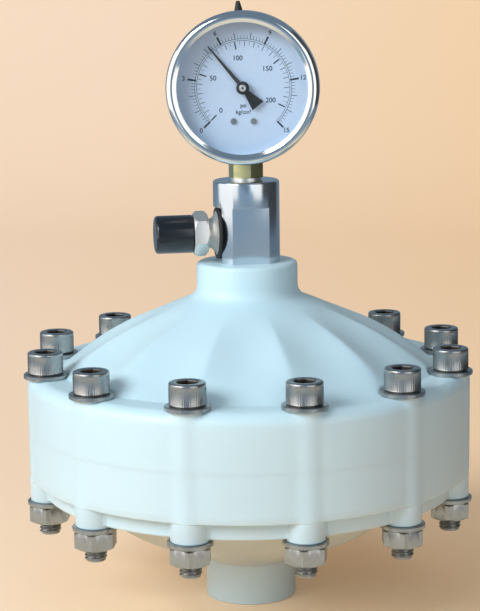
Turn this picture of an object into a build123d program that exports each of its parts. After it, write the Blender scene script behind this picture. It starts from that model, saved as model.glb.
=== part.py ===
"""Diaphragm pulsation dampener: two moulded plastic halves clamped by twelve bolts round a
rubber diaphragm, with a metal block on the neck that carries a charging valve and a dial gauge.

Units are millimetres and +Z is up. The origin is the centre of the inlet boss's lower face,
and the gauge looks along -Y. Angles named *_turn are measured from -Y towards +X.
"""
from build123d import *

import os
from math import atan2, cos, degrees, hypot, pi, radians, sin, sqrt

# Housing, seen in section
inlet_boss_diameter = 42.0
inlet_boss_length = 20.0
inlet_bore_diameter = 30.3
inlet_thread_length = 18.0
inlet_passage_diameter = 24.0
inlet_mouth_chamfer = 1.6
dome_rise = 34.0
dome_base_inset = 8.0
dome_knee_radius = 52.0
dome_knee_drop = 12.1
neck_diameter = 46.5
neck_height = 15.0
neck_edge_radius = 2.0
neck_root_radius = 3.0
boss_root_radius = 2.0
upper_flange_thickness = 26.0
lower_flange_thickness = 22.0
flange_diameter = 205.0
flange_edge_radius = 6.0
parting_chamfer = 0.5
under_ring_inset = 6.0
under_ring_height = 8.0
wall_thickness = 11.0
chamber_shoulder_out = 7.7
chamber_shoulder_rise = 6.0
flute_radius = 58.0
flute_start_radius = 34.0
flute_start_drop = 4.3

# Bolting
bolt_count = 12
bolt_edge_distance = 7.5
bolt_turn = -11.6
bolt_diameter = 10.0
bolt_length = 75.0
bolt_end_chamfer = 1.2
bolt_hole_diameter = 11.0
bolt_head_diameter = 16.0
bolt_head_height = 10.0
bolt_head_edge = 0.9
bolt_socket_across_flats = 8.0
bolt_socket_depth = 5.5
boss_diameter = 17.0
boss_edge = 0.6
boss_drop = 1.0
spot_face_clearance = 0.4
washer_diameter = 20.0
washer_thickness = 2.0
washer_bore = 10.5
nut_across_flats = 17.0
nut_height = 8.0
nut_corner_chamfer = 1.1
nut_turn = 30.0
thread_clearance = 0.1

# Diaphragm and its centre button
bead_hole_distance = 8.5
bead_width = 10.0
bead_height = 8.0
bead_edge_radius = 1.5
bead_clearance = 0.1
web_thickness = 3.0
web_clearance = 0.2
chamber_lip_width = 3.0
chamber_wall_height = 16.0
chamber_end_radius = 14.0
diaphragm_dish = 14.0
diaphragm_roll_radius = 9.0
button_radius = 20.0
button_thickness = 6.0
button_edge_radius = 1.2

# Gauge block
block_diameter = 30.5
block_height = 37.5
block_edge_radius = 1.2
block_turn = 13.2
block_flat_distance = 12.7
block_flat_height = 25.6
block_spigot_diameter = 19.0
block_spigot_length = 12.0
block_bore_diameter = 6.0
gas_passage_diameter = 12.0
spigot_clearance = 0.1
seal_ring_radius = 11.5
seal_ring_section = 2.4
seal_groove_width = 2.9

# Charging valve
valve_height = 13.3
valve_gasket_diameter = 24.0
valve_gasket_thickness = 1.5
valve_spigot_diameter = 9.5
valve_spigot_length = 8.0
valve_flare_radius = 10.0
valve_neck_radius = 6.2
valve_neck_length = 4.2
valve_flare_tangent = (-0.8, 0.3)
valve_hex_across_flats = 18.0
valve_hex_length = 6.6
valve_hex_chamfer = 1.4
valve_hex_turn = 10.0
valve_stem_diameter = 7.7
valve_stem_length = 13.0
valve_bore_diameter = 5.0
core_bore_diameter = 3.4
core_length = 10.0
core_recess = 2.0
pin_diameter = 1.1
pin_collar_diameter = 2.6
pin_collar_thickness = 0.8
pin_head_diameter = 1.8
pin_head_thickness = 0.9
pin_seal_diameter = 2.9
pin_seal_thickness = 1.0
pin_travel = 1.2
pin_clearance = 0.15
spring_wire = 0.35
spring_length = 3.4
spring_turns = 5
core_ledge_thickness = 1.5
cap_diameter = 17.4
cap_length = 17.2
cap_edge_radius = 1.5
cap_clearance = 0.3
cap_end_thickness = 1.6
cap_seal_thickness = 1.0

# Gauge case, window and dial; depths are measured forward or back from the stem's axis
gauge_stem_reach = 11.0
bezel_cover = 1.3
bezel_lip_width = 5.0
bezel_depth = 10.2
bezel_edge_radius = 2.6
bezel_wall = 1.1
case_radius = 31.5
case_wall = 0.8
case_back = 12.0
case_front = 13.0
case_flange_width = 1.7
case_flange_thickness = 0.9
case_screw_radius = 1.3
case_screw_length = 5.0
case_screw_head_radius = 2.3
case_screw_head_height = 1.5
case_screw_head_chamfer = 0.4
case_screw_spread = 3.3
case_screw_rise = 5.2
window_gasket_thickness = 1.5
window_thickness = 2.4
window_clearance = 0.4
dial_thickness = 0.6
dial_back = 8.5
dial_bore_radius = 1.7
dial_screw_spread = 4.5
dial_screw_drop = 15.0
dial_screw_radius = 1.4
dial_screw_head = 0.8
dial_screw_reach = 2.0
dial_shank_radius = 0.8
plug_turn = -4.0
plug_shank_radius = 2.1
plug_shank_length = 2.0
plug_flange_radius = 3.6
plug_flange_height = 1.4
plug_tip_height = 5.6
plug_tip_radius = 0.7
socket_hex_across_flats = 14.0
socket_hex_height = 6.4
socket_turn = 20.4
socket_neck_radius = 6.0
socket_thread_radius = 6.5
socket_thread_length = 13.0
socket_bore_radius = 1.6
socket_head_width = 12.0
socket_head_front = 2.2
socket_head_back = 11.0
socket_head_height = 13.0
socket_neck_overlap = 1.0
socket_passage_radius = 0.6
socket_passage_drop = 6.0
tube_pocket_arc = 30.0
seal_washer_thickness = 1.2
seal_washer_radius = 7.2
fit_clearance = 0.3
slip_clearance = 0.1

# Gauge movement
pointer_turn = -39.8
pointer_length = 24.3
pointer_tail = 10.5
pointer_tail_width = 6.4
pointer_root_width = 1.9
pointer_tip_width = 0.5
pointer_hub_radius = 2.9
pointer_hub_height = 1.3
pointer_thickness = 0.5
pointer_gap = 1.5
gear_module = 0.4
pinion_teeth = 12
sector_full_teeth = 72
sector_teeth_before = 5
sector_teeth_after = 8
tooth_depth = 0.64
tooth_height = 0.34
tooth_root_half = 0.32
tooth_tip_half = 0.12
tooth_core_depth = 0.52
pinion_back = 1.0
pinion_length = 2.2
sector_pivot_turn = 150.0
sector_back = 1.4
sector_thickness = 1.2
sector_rim = 2.2
sector_hub_radius = 2.0
sector_window_start = 4.0
arbor_radius = 1.0
arbor_clearance = 0.1
tail_radius = 6.0
tail_turn = 165.0
tail_pin_radius = 0.6
eye_radius = 1.4
bar_width = 1.8
link_gap = 0.3
tube_distance = 10.5
tube_width = 7.6
tube_section = 3.6
tube_wall = 0.5
tube_back = 10.3
tube_root_turn = 190.0
tube_tip_turn = 130.0
tip_pin_turn = 138.0
tip_cap_length = 3.0
tip_lug_thickness = 1.0
plate_thickness = 1.2
plate_margin = 2.6
front_plate_back = 5.0
pillar_radius = 1.5
post_radius = 0.8
movement_screw_radius = 1.1
movement_screw_length = 3.8
movement_screw_head_radius = 1.8
movement_screw_head = 1.2
movement_screw_spread = 3.5
movement_screw_rise = 4.0
pillar_left = 8.5
pillar_right = 9.0
pillar_low = 13.0
pillar_left_rise = 9.0
pillar_right_rise = 11.0
hairspring_radius = 7.2
hairspring_turns = 3
hairspring_end_turn = 270.0
hairspring_back = 0.0
hairspring_strip = 0.3
hairspring_width = 0.8
hairspring_steps = 24

# How closely an edge's radius must match when edges are picked by size
match_tolerance = 0.01

# Levels worked out from the sizes above
under_ring_level = inlet_boss_length + dome_rise
boss_level = under_ring_level - boss_drop
rim_level = under_ring_level + under_ring_height
parting_level = rim_level + lower_flange_thickness
flange_level = parting_level + upper_flange_thickness
neck_top = flange_level + dome_rise + neck_height
block_top = neck_top + block_height
gauge_level = block_top + case_radius + gauge_stem_reach
case_inner_radius = case_radius - case_wall
case_flange_radius = case_radius + case_flange_width
bezel_radius = case_flange_radius + bezel_cover
bezel_lip_radius = bezel_radius - bezel_lip_width
window_radius = case_flange_radius - window_clearance
dial_radius = case_inner_radius - fit_clearance
tube_radius = case_radius - tube_distance
valve_level = neck_top + valve_height
boss_radius = inlet_boss_diameter / 2
flange_radius = flange_diameter / 2
bolt_circle_radius = flange_radius - bolt_edge_distance
dome_base_radius = bolt_circle_radius - dome_base_inset
under_ring_radius = flange_radius - under_ring_inset
bead_inner_radius = bolt_circle_radius - bolt_hole_diameter / 2 - bead_hole_distance - bead_width
chamber_radius = bead_inner_radius - chamber_lip_width
bolt_turns = [bolt_turn + 360 * i / bolt_count for i in range(bolt_count)]


def polar(radius, turn):
    """Point of the plan at a turn from -Y towards +X."""
    return (radius * sin(radians(turn)), -radius * cos(radians(turn)))


def clock(radius, turn):
    """Point of the gauge face at a clockwise turn from twelve."""
    return (radius * sin(radians(turn)), radius * cos(radians(turn)))


bolt_points = [polar(bolt_circle_radius, turn) for turn in bolt_turns]
flute_turns = [turn + 180 / bolt_count for turn in bolt_turns]


def dome_section(base, side, root_radius):
    """Closed half section of a dome that stands on a level, up for side 1 and down for side -1."""
    top = base + side * dome_rise
    knee = (dome_knee_radius, top - side * dome_knee_drop)
    slope = side * dome_knee_drop / (dome_knee_radius - root_radius)
    with BuildSketch(Plane.XZ) as section:
        with BuildLine():
            Polyline((0, base), (0, top), (root_radius, top), knee)
            TangentArc(knee, (dome_base_radius, base), tangent=(1, -slope))
            Line((dome_base_radius, base), (0, base))
        make_face()
    return section.sketch


def flute_cutter(base, side):
    """Round bar that leaves one hollow flute between two ridges of a dome."""
    run = dome_base_radius - flute_start_radius
    fall = dome_rise - flute_start_drop
    length = hypot(run, fall)
    along = (run / length, -side * fall / length)
    away = (fall / length, side * run / length)
    middle = (flute_start_radius + run / 2, base + side * fall / 2)
    origin = (middle[0] + flute_radius * away[0], 0, middle[1] + flute_radius * away[1])
    with BuildPart(Plane(origin=origin, x_dir=(0, 1, 0), z_dir=(along[0], 0, along[1]))) as bar:
        Cylinder(flute_radius, length)
    return bar.part


def chamber_section(side):
    """Closed half section of the hollow on one side of the diaphragm."""
    lip = web_thickness / 2 + web_clearance
    wall_end = parting_level + side * chamber_wall_height
    if side > 0:
        end = flange_level + dome_rise - wall_thickness
    else:
        end = under_ring_level - dome_rise + wall_thickness
    middle_radius = (chamber_radius + chamber_end_radius) / 2 + chamber_shoulder_out
    middle = (middle_radius, (wall_end + end) / 2 + side * chamber_shoulder_rise)
    with BuildSketch(Plane.XZ) as section:
        with BuildLine():
            Polyline(
                (0, parting_level),
                (bead_inner_radius, parting_level),
                (bead_inner_radius, parting_level + side * lip),
                (chamber_radius, parting_level + side * lip),
                (chamber_radius, wall_end),
            )
            ThreePointArc((chamber_radius, wall_end), middle, (chamber_end_radius, end))
            Polyline((chamber_end_radius, end), (0, end), (0, parting_level))
        make_face()
    return section.sketch


def ring_section(plane, inner, outer, low, high):
    """Rectangle of a half section, for a groove or a ring."""
    with BuildSketch(plane) as section:
        with Locations(((inner + outer) / 2, (low + high) / 2)):
            Rectangle(outer - inner, high - low)
    return section.sketch


# Upper housing: the gas side
with BuildPart() as upper_housing:
    with BuildSketch(Plane.XZ):
        with BuildLine():
            edge = flange_edge_radius
            Polyline(
                (0, parting_level),
                (flange_radius - parting_chamfer, parting_level),
                (flange_radius, parting_level + parting_chamfer),
                (flange_radius, flange_level - edge),
            )
            RadiusArc((flange_radius, flange_level - edge), (flange_radius - edge, flange_level), -edge)
            Polyline((flange_radius - edge, flange_level), (0, flange_level), (0, parting_level))
        make_face()
    revolve(axis=Axis.Z)
    revolve(dome_section(flange_level, 1, neck_diameter / 2), axis=Axis.Z)
    upper_flute = flute_cutter(flange_level, 1)
    with Locations([Location((0, 0, 0), (0, 0, turn - 90)) for turn in flute_turns]):
        add(upper_flute, mode=Mode.SUBTRACT)
    with BuildSketch(Plane.XY.offset(parting_level)):
        with Locations(bolt_points):
            Circle(boss_diameter / 2)
    extrude(amount=upper_flange_thickness)
    with BuildSketch(Plane.XY.offset(flange_level)):
        with Locations(bolt_points):
            Circle(washer_diameter / 2 + spot_face_clearance)
    extrude(amount=dome_rise / 2, mode=Mode.SUBTRACT)
    with BuildSketch(Plane.XY.offset(flange_level + dome_rise / 2)):
        Circle(neck_diameter / 2)
    extrude(amount=dome_rise / 2 + neck_height)
    neck_edges = upper_housing.edges().filter_by(GeomType.CIRCLE)
    fillet(neck_edges.group_by(Axis.Z)[-1], neck_edge_radius)
    neck_roots = neck_edges.filter_by(lambda e: abs(e.radius - neck_diameter / 2) < match_tolerance)
    fillet(neck_roots.group_by(Axis.Z)[-2], neck_root_radius)
    revolve(chamber_section(1), axis=Axis.Z, mode=Mode.SUBTRACT)
    groove = ring_section(
        Plane.XZ,
        bead_inner_radius,
        bead_inner_radius + bead_width,
        parting_level,
        parting_level + bead_height / 2,
    )
    revolve(groove, axis=Axis.Z, mode=Mode.SUBTRACT)
    with BuildSketch(Plane.XY.offset(parting_level)):
        with Locations(bolt_points):
            Circle(bolt_hole_diameter / 2)
    extrude(amount=upper_flange_thickness, mode=Mode.SUBTRACT)
    with BuildSketch(Plane.XY.offset(neck_top - block_spigot_length - spigot_clearance)):
        Circle(block_spigot_diameter / 2 + spigot_clearance)
    extrude(amount=block_spigot_length + spigot_clearance, mode=Mode.SUBTRACT)
    with BuildSketch(Plane.XY.offset(parting_level)):
        Circle(gas_passage_diameter / 2)
    extrude(amount=neck_top - parting_level - block_spigot_length, mode=Mode.SUBTRACT)
    with BuildSketch(Plane.XY.offset(neck_top)):
        Circle(seal_ring_radius + seal_groove_width / 2)
        Circle(seal_ring_radius - seal_groove_width / 2, mode=Mode.SUBTRACT)
    extrude(amount=-seal_ring_section, mode=Mode.SUBTRACT)
upper_housing.part.label = "upper_housing"

# Lower housing: the liquid side, with the threaded inlet
with BuildPart() as lower_housing:
    with BuildSketch(Plane.XZ):
        with BuildLine():
            Polyline(
                (0, parting_level),
                (flange_radius - parting_chamfer, parting_level),
                (flange_radius, parting_level - parting_chamfer),
                (flange_radius, rim_level),
                (under_ring_radius, rim_level),
                (under_ring_radius, under_ring_level),
                (0, under_ring_level),
                (0, parting_level),
            )
        make_face()
    revolve(axis=Axis.Z)
    revolve(dome_section(under_ring_level, -1, neck_diameter / 2), axis=Axis.Z)
    lower_flute = flute_cutter(under_ring_level, -1)
    with Locations([Location((0, 0, 0), (0, 0, turn - 90)) for turn in flute_turns]):
        add(lower_flute, mode=Mode.SUBTRACT)
    with BuildSketch(Plane.XY.offset(boss_level)):
        with Locations(bolt_points):
            Circle(boss_diameter / 2)
    extrude(amount=parting_level - boss_level)
    with BuildSketch(Plane.XY.offset(boss_level)):
        with Locations(bolt_points):
            Circle(washer_diameter / 2 + spot_face_clearance)
    extrude(amount=-dome_rise / 2, mode=Mode.SUBTRACT)
    with BuildSketch(Plane.XY):
        Circle(boss_radius)
    extrude(amount=inlet_boss_length + dome_rise / 2)
    boss_edges = lower_housing.edges().filter_by(GeomType.CIRCLE)
    boss_roots = boss_edges.filter_by(lambda e: abs(e.radius - boss_radius) < match_tolerance)
    fillet(boss_roots.group_by(Axis.Z)[1], boss_root_radius)
    revolve(chamber_section(-1), axis=Axis.Z, mode=Mode.SUBTRACT)
    groove = ring_section(
        Plane.XZ,
        bead_inner_radius,
        bead_inner_radius + bead_width,
        parting_level - bead_height / 2,
        parting_level,
    )
    revolve(groove, axis=Axis.Z, mode=Mode.SUBTRACT)
    with BuildSketch(Plane.XY.offset(boss_level)):
        with Locations(bolt_points):
            Circle(bolt_hole_diameter / 2)
    extrude(amount=parting_level - boss_level, mode=Mode.SUBTRACT)
    with BuildSketch(Plane.XY):
        Circle(inlet_passage_diameter / 2)
    extrude(amount=parting_level, mode=Mode.SUBTRACT)
    with BuildSketch(Plane.XY):
        Circle(inlet_bore_diameter / 2)
    extrude(amount=inlet_thread_length, mode=Mode.SUBTRACT)
    mouth = lower_housing.edges().filter_by(GeomType.CIRCLE).group_by(Axis.Z)[0]
    chamfer(mouth.sort_by(SortBy.RADIUS)[0], inlet_mouth_chamfer)
    fillet(mouth.sort_by(SortBy.RADIUS)[-1], boss_edge)
lower_housing.part.label = "lower_housing"

# Diaphragm: a clamped bead, a thin web and a dished middle that lies on the button
dish_level = parting_level - diaphragm_dish
with BuildPart() as diaphragm:
    half = web_thickness / 2
    bead_half = bead_height / 2 - bead_clearance
    inner = bead_inner_radius + bead_clearance
    outer = bead_inner_radius + bead_width - bead_clearance
    roll = chamber_radius - diaphragm_roll_radius
    with BuildSketch(Plane.XZ):
        with BuildLine():
            Polyline(
                (0, dish_level - half),
                (button_radius, dish_level - half),
                (roll, parting_level - half),
                (inner, parting_level - half),
                (inner, parting_level - bead_half),
                (outer, parting_level - bead_half),
                (outer, parting_level + bead_half),
                (inner, parting_level + bead_half),
                (inner, parting_level + half),
                (roll, parting_level + half),
                (button_radius, dish_level + half),
                (0, dish_level + half),
                (0, dish_level - half),
            )
        make_face()
    revolve(axis=Axis.Z)
    bead_edges = diaphragm.edges().filter_by(GeomType.CIRCLE)
    fillet(bead_edges.filter_by(lambda e: e.radius > outer - match_tolerance), bead_edge_radius)
diaphragm.part.label = "diaphragm"

# Centre button under the diaphragm
button_top = dish_level - web_thickness / 2
with BuildPart() as diaphragm_button:
    with BuildSketch(Plane.XY.offset(button_top)):
        Circle(button_radius)
    extrude(amount=-button_thickness)
    fillet(diaphragm_button.edges().group_by(Axis.Z)[0], button_edge_radius)
diaphragm_button.part.label = "diaphragm_button"

# Socket head cap screws
head_seat = flange_level + washer_thickness
with BuildPart() as screw_blank:
    with BuildSketch(Plane.XY.offset(head_seat)):
        Circle(bolt_head_diameter / 2)
    extrude(amount=bolt_head_height)
    fillet(screw_blank.edges().group_by(Axis.Z)[-1], bolt_head_edge)
    with BuildSketch(Plane.XY.offset(head_seat + bolt_head_height)):
        RegularPolygon(bolt_socket_across_flats / 2, 6, major_radius=False)
    extrude(amount=-bolt_socket_depth, mode=Mode.SUBTRACT)
    with BuildSketch(Plane.XY.offset(head_seat)):
        Circle(bolt_diameter / 2)
    extrude(amount=-bolt_length)
    chamfer(screw_blank.edges().group_by(Axis.Z)[0], bolt_end_chamfer)
with BuildPart() as socket_screws:
    with Locations([Location((x, y, 0)) for x, y in bolt_points]):
        add(screw_blank.part)
socket_screws.part.label = "socket_screws"

# Flat washers under the heads and over the nuts
nut_seat = boss_level - washer_thickness
with BuildPart() as upper_washers:
    with BuildSketch(Plane.XY.offset(flange_level)):
        with Locations(bolt_points):
            Circle(washer_diameter / 2)
            Circle(washer_bore / 2, mode=Mode.SUBTRACT)
    extrude(amount=washer_thickness)
upper_washers.part.label = "upper_washers"

with BuildPart() as lower_washers:
    with BuildSketch(Plane.XY.offset(nut_seat)):
        with Locations(bolt_points):
            Circle(washer_diameter / 2)
            Circle(washer_bore / 2, mode=Mode.SUBTRACT)
    extrude(amount=washer_thickness)
lower_washers.part.label = "lower_washers"

# Hexagon nuts with both faces chamfered
nut_corner_radius = nut_across_flats / sqrt(3)
with BuildPart() as nut_blank:
    with BuildSketch(Plane.XY.offset(nut_seat)):
        RegularPolygon(nut_across_flats / 2, 6, major_radius=False, rotation=nut_turn)
    extrude(amount=-nut_height)
    with BuildSketch(Plane.XZ):
        with BuildLine():
            drop = nut_corner_chamfer
            Polyline(
                (0, nut_seat),
                (nut_corner_radius - drop, nut_seat),
                (nut_corner_radius, nut_seat - drop / 2),
                (nut_corner_radius, nut_seat - nut_height + drop / 2),
                (nut_corner_radius - drop, nut_seat - nut_height),
                (0, nut_seat - nut_height),
                (0, nut_seat),
            )
        make_face()
    revolve(axis=Axis.Z, mode=Mode.INTERSECT)
    with BuildSketch(Plane.XY.offset(nut_seat)):
        Circle(bolt_diameter / 2 + thread_clearance)
    extrude(amount=-nut_height, mode=Mode.SUBTRACT)
with BuildPart() as hex_nuts:
    with Locations([Location((x, y, 0)) for x, y in bolt_points]):
        add(nut_blank.part)
hex_nuts.part.label = "hex_nuts"

# Gauge block: a turned bar with a flat for the valve and two wrench flats
valve_direction = Vector(-cos(radians(block_turn)), -sin(radians(block_turn)), 0)
valve_origin = Vector(0, 0, valve_level)
valve_axis = Axis(valve_origin, valve_direction)
valve_bar = Plane(origin=valve_origin, x_dir=(0, 0, 1), z_dir=valve_direction)
valve_section = Plane(
    origin=valve_origin, x_dir=(0, 0, 1), z_dir=Vector(0, 0, 1).cross(valve_direction)
)
valve_flat = block_flat_distance
with BuildPart() as gauge_block:
    with BuildSketch(Plane.XY.offset(neck_top)):
        Circle(block_diameter / 2)
    extrude(amount=block_height)
    fillet(gauge_block.edges().group_by(Axis.Z)[-1], block_edge_radius)
    flats = Plane(origin=(0, 0, neck_top), x_dir=valve_direction)
    with BuildSketch(flats):
        half = block_diameter / 2
        Rectangle(2 * half, 2 * half)
        with Locations((-half + block_flat_distance, 0)):
            Rectangle(2 * half, 2 * block_flat_distance, mode=Mode.SUBTRACT)
    extrude(amount=block_flat_height, mode=Mode.SUBTRACT)
    with BuildSketch(Plane.XY.offset(neck_top)):
        Circle(block_spigot_diameter / 2)
    extrude(amount=-block_spigot_length)
    with BuildSketch(Plane.XY.offset(neck_top - block_spigot_length)):
        Circle(block_bore_diameter / 2)
    extrude(amount=block_spigot_length + block_height, mode=Mode.SUBTRACT)
    with BuildSketch(Plane.XY.offset(block_top)):
        Circle(socket_thread_radius + slip_clearance)
    extrude(amount=-socket_thread_length - slip_clearance, mode=Mode.SUBTRACT)
    with BuildSketch(valve_bar):
        Circle(valve_bore_diameter / 2)
    extrude(amount=valve_flat, mode=Mode.SUBTRACT)
    with BuildSketch(valve_bar.offset(valve_flat - valve_spigot_length)):
        Circle(valve_spigot_diameter / 2 + slip_clearance)
    extrude(amount=valve_spigot_length, mode=Mode.SUBTRACT)
gauge_block.part.label = "gauge_block"

# Round seal ring in the face of the neck
with BuildPart() as block_seal_ring:
    with BuildSketch(Plane.XZ):
        with Locations((seal_ring_radius, neck_top - seal_ring_section / 2)):
            Circle(seal_ring_section / 2)
    revolve(axis=Axis.Z)
block_seal_ring.part.label = "block_seal_ring"

# Charging valve, outwards from the flat of the block
gasket_out = valve_flat + valve_gasket_thickness
hex_start = gasket_out + valve_neck_length
hex_end = hex_start + valve_hex_length
stem_end = hex_end + valve_stem_length
core_out = stem_end - core_recess
core_in = core_out - core_length

with BuildPart() as valve_gasket:
    with BuildSketch(valve_bar.offset(valve_flat)):
        Circle(valve_gasket_diameter / 2)
        Circle(valve_spigot_diameter / 2 + slip_clearance, mode=Mode.SUBTRACT)
    extrude(amount=valve_gasket_thickness)
valve_gasket.part.label = "valve_gasket"

with BuildPart() as valve_body:
    with BuildSketch(valve_section):
        with BuildLine():
            spigot = valve_spigot_diameter / 2
            Polyline(
                (0, gasket_out),
                (0, valve_flat - valve_spigot_length),
                (spigot, valve_flat - valve_spigot_length),
                (spigot, gasket_out),
                (valve_flare_radius, gasket_out),
            )
            TangentArc(
                (valve_flare_radius, gasket_out),
                (valve_neck_radius, hex_start),
                tangent=valve_flare_tangent,
            )
            Polyline((valve_neck_radius, hex_start), (0, hex_start), (0, gasket_out))
        make_face()
    revolve(axis=valve_axis)
    with BuildSketch(valve_bar.offset(hex_start)):
        RegularPolygon(valve_hex_across_flats / 2, 6, major_radius=False, rotation=valve_hex_turn)
    extrude(amount=valve_hex_length)
    with BuildSketch(valve_section):
        with BuildLine():
            corner = valve_hex_across_flats / sqrt(3)
            cut = valve_hex_chamfer
            Polyline(
                (0, valve_flat - valve_spigot_length),
                (corner, valve_flat - valve_spigot_length),
                (corner, gasket_out),
                (corner - cut, hex_start),
                (corner, hex_start + cut),
                (corner, hex_end - cut),
                (corner - cut, hex_end),
                (0, hex_end),
                (0, valve_flat - valve_spigot_length),
            )
        make_face()
    revolve(axis=valve_axis, mode=Mode.INTERSECT)
    with BuildSketch(valve_bar.offset(hex_end)):
        Circle(valve_stem_diameter / 2)
    extrude(amount=valve_stem_length)
    with BuildSketch(valve_bar.offset(valve_flat - valve_spigot_length)):
        Circle(core_bore_diameter / 2)
    extrude(amount=stem_end - valve_flat + valve_spigot_length, mode=Mode.SUBTRACT)
    with BuildSketch(valve_bar.offset(core_in)):
        Circle(valve_bore_diameter / 2)
    extrude(amount=stem_end - core_in, mode=Mode.SUBTRACT)
valve_body.part.label = "valve_body"

# Valve core: a sleeve with a ledge that the pin's spring pushes on
with BuildPart() as valve_core:
    with BuildSketch(valve_bar.offset(core_in)):
        Circle(valve_bore_diameter / 2 - slip_clearance)
        Circle(pin_diameter / 2 + pin_clearance, mode=Mode.SUBTRACT)
    extrude(amount=core_length)
    with BuildSketch(valve_bar.offset(core_in + core_ledge_thickness)):
        Circle(core_bore_diameter / 2)
    extrude(amount=core_length - core_ledge_thickness, mode=Mode.SUBTRACT)
valve_core.part.label = "valve_core"

# Pin with its collar and the seal that closes the core from inside
spring_in = core_in + core_ledge_thickness + pin_travel + slip_clearance
collar_in = spring_in + spring_length
with BuildPart() as valve_pin:
    with BuildSketch(valve_bar.offset(core_in - pin_seal_thickness)):
        Circle(pin_seal_diameter / 2)
    extrude(amount=pin_seal_thickness)
    with BuildSketch(valve_bar.offset(core_in)):
        Circle(pin_diameter / 2)
    extrude(amount=core_length)
    with BuildSketch(valve_bar.offset(collar_in)):
        Circle(pin_collar_diameter / 2)
    extrude(amount=pin_collar_thickness)
    with BuildSketch(valve_bar.offset(core_out - pin_head_thickness)):
        Circle(pin_head_diameter / 2)
    extrude(amount=pin_head_thickness)
valve_pin.part.label = "valve_pin"

# Pin spring, a wire coil between the ledge of the core and the collar of the pin
coil_radius = pin_collar_diameter / 2 - spring_wire / 2
coil_height = spring_length - spring_wire
with BuildPart() as valve_spring:
    with BuildLine() as coil:
        Helix(
            coil_height / spring_turns,
            coil_height,
            coil_radius,
            center=valve_bar.offset(spring_in + spring_wire / 2).origin,
            direction=valve_direction,
        )
    with BuildSketch(Plane(origin=coil.line @ 0, z_dir=coil.line % 0)):
        RegularPolygon(spring_wire / 2, 6)
    sweep(path=coil.line, is_frenet=True)
valve_spring.part.label = "valve_spring"

# Screwed cap with its seal disc
cap_base = hex_end + fit_clearance
cap_end = cap_base + cap_length
cap_floor = cap_end - cap_end_thickness
with BuildPart() as valve_cap:
    with BuildSketch(valve_bar.offset(cap_base)):
        Circle(cap_diameter / 2)
    extrude(amount=cap_length)
    far_rim = valve_cap.edges().sort_by(valve_axis)[-1]
    fillet(far_rim, cap_edge_radius)
    with BuildSketch(valve_bar.offset(cap_base)):
        Circle(valve_stem_diameter / 2 + cap_clearance)
    extrude(amount=cap_floor - cap_base, mode=Mode.SUBTRACT)
valve_cap.part.label = "valve_cap"

with BuildPart() as cap_seal:
    with BuildSketch(valve_bar.offset(cap_floor - cap_seal_thickness)):
        Circle(valve_stem_diameter / 2)
    extrude(amount=cap_seal_thickness)
cap_seal.part.label = "cap_seal"

# Gauge: half sections are drawn on a level plane through its centre, radius along X, depth along Y
gauge_section = Plane.XY.offset(gauge_level)
gauge_axis = Axis((0, 0, gauge_level), (0, 1, 0))


def face_plane(forward):
    """Plane across the gauge, this far forward of its middle, drawn as seen from the front."""
    return Plane(origin=(0, -forward, gauge_level), x_dir=(1, 0, 0), z_dir=(0, -1, 0))


socket_seat = block_top + seal_washer_thickness
hex_top = socket_seat + socket_hex_height
head_half = socket_head_width / 2
head_low = -sqrt(case_inner_radius**2 - head_half**2) + fit_clearance
head_base = gauge_level + head_low
neck_end = head_base + socket_neck_overlap
hex_plane = Plane(origin=(0, 0, socket_seat), x_dir=(*polar(1, socket_turn), 0))
case_screw_points = [(x, head_low + case_screw_rise) for x in (-case_screw_spread, case_screw_spread)]
movement_screw_points = [
    (x, head_low + movement_screw_rise) for x in (-movement_screw_spread, movement_screw_spread)
]
root_direction = clock(1, tube_root_turn)
tube_plane = Plane(
    origin=(0, 0, gauge_level),
    x_dir=(root_direction[0], 0, root_direction[1]),
    z_dir=(-root_direction[1], 0, root_direction[0]),
)
tube_centre = tube_back - tube_width / 2
tube_root = clock(tube_radius, tube_root_turn)
passage_start = Vector(0, 0, head_base - socket_passage_drop)
passage_end = Vector(tube_root[0], tube_centre, gauge_level + tube_root[1])
tube_arc = 360 + tube_tip_turn - tube_root_turn

# Brass socket: thread, hexagon, neck through the case, and the head that holds the tube
with BuildPart() as gauge_socket:
    with BuildSketch(Plane.XY.offset(block_top - socket_thread_length)):
        Circle(socket_thread_radius)
    extrude(amount=socket_thread_length + seal_washer_thickness)
    with BuildSketch(hex_plane):
        RegularPolygon(socket_hex_across_flats / 2, 6, major_radius=False)
    extrude(amount=socket_hex_height)
    with BuildSketch(Plane.XY.offset(hex_top)):
        Circle(socket_neck_radius)
    extrude(amount=neck_end - hex_top)
    with BuildSketch(Plane.XY.offset(head_base)):
        with Locations((0, (socket_head_front + socket_head_back) / 2)):
            Rectangle(socket_head_width, socket_head_back - socket_head_front)
    extrude(amount=socket_head_height)
    with BuildSketch(tube_plane):
        with Locations((tube_radius, tube_centre)):
            Rectangle(tube_section + slip_clearance, tube_width + slip_clearance)
    revolve(axis=gauge_axis, revolution_arc=tube_pocket_arc, mode=Mode.SUBTRACT)
    with BuildSketch(Plane.XY.offset(block_top - socket_thread_length)):
        Circle(socket_bore_radius)
    extrude(amount=passage_start.Z - block_top + socket_thread_length, mode=Mode.SUBTRACT)
    with BuildSketch(Plane(origin=passage_start, z_dir=passage_end - passage_start)):
        Circle(socket_passage_radius)
    extrude(amount=(passage_end - passage_start).length, mode=Mode.SUBTRACT)
    with BuildSketch(face_plane(-socket_head_back)):
        with Locations(case_screw_points):
            Circle(case_screw_radius + slip_clearance)
    extrude(amount=case_screw_length, mode=Mode.SUBTRACT)
    with BuildSketch(face_plane(-socket_head_front)):
        with Locations(movement_screw_points):
            Circle(movement_screw_radius + slip_clearance)
    extrude(amount=-movement_screw_length, mode=Mode.SUBTRACT)
gauge_socket.part.label = "gauge_socket"

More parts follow.
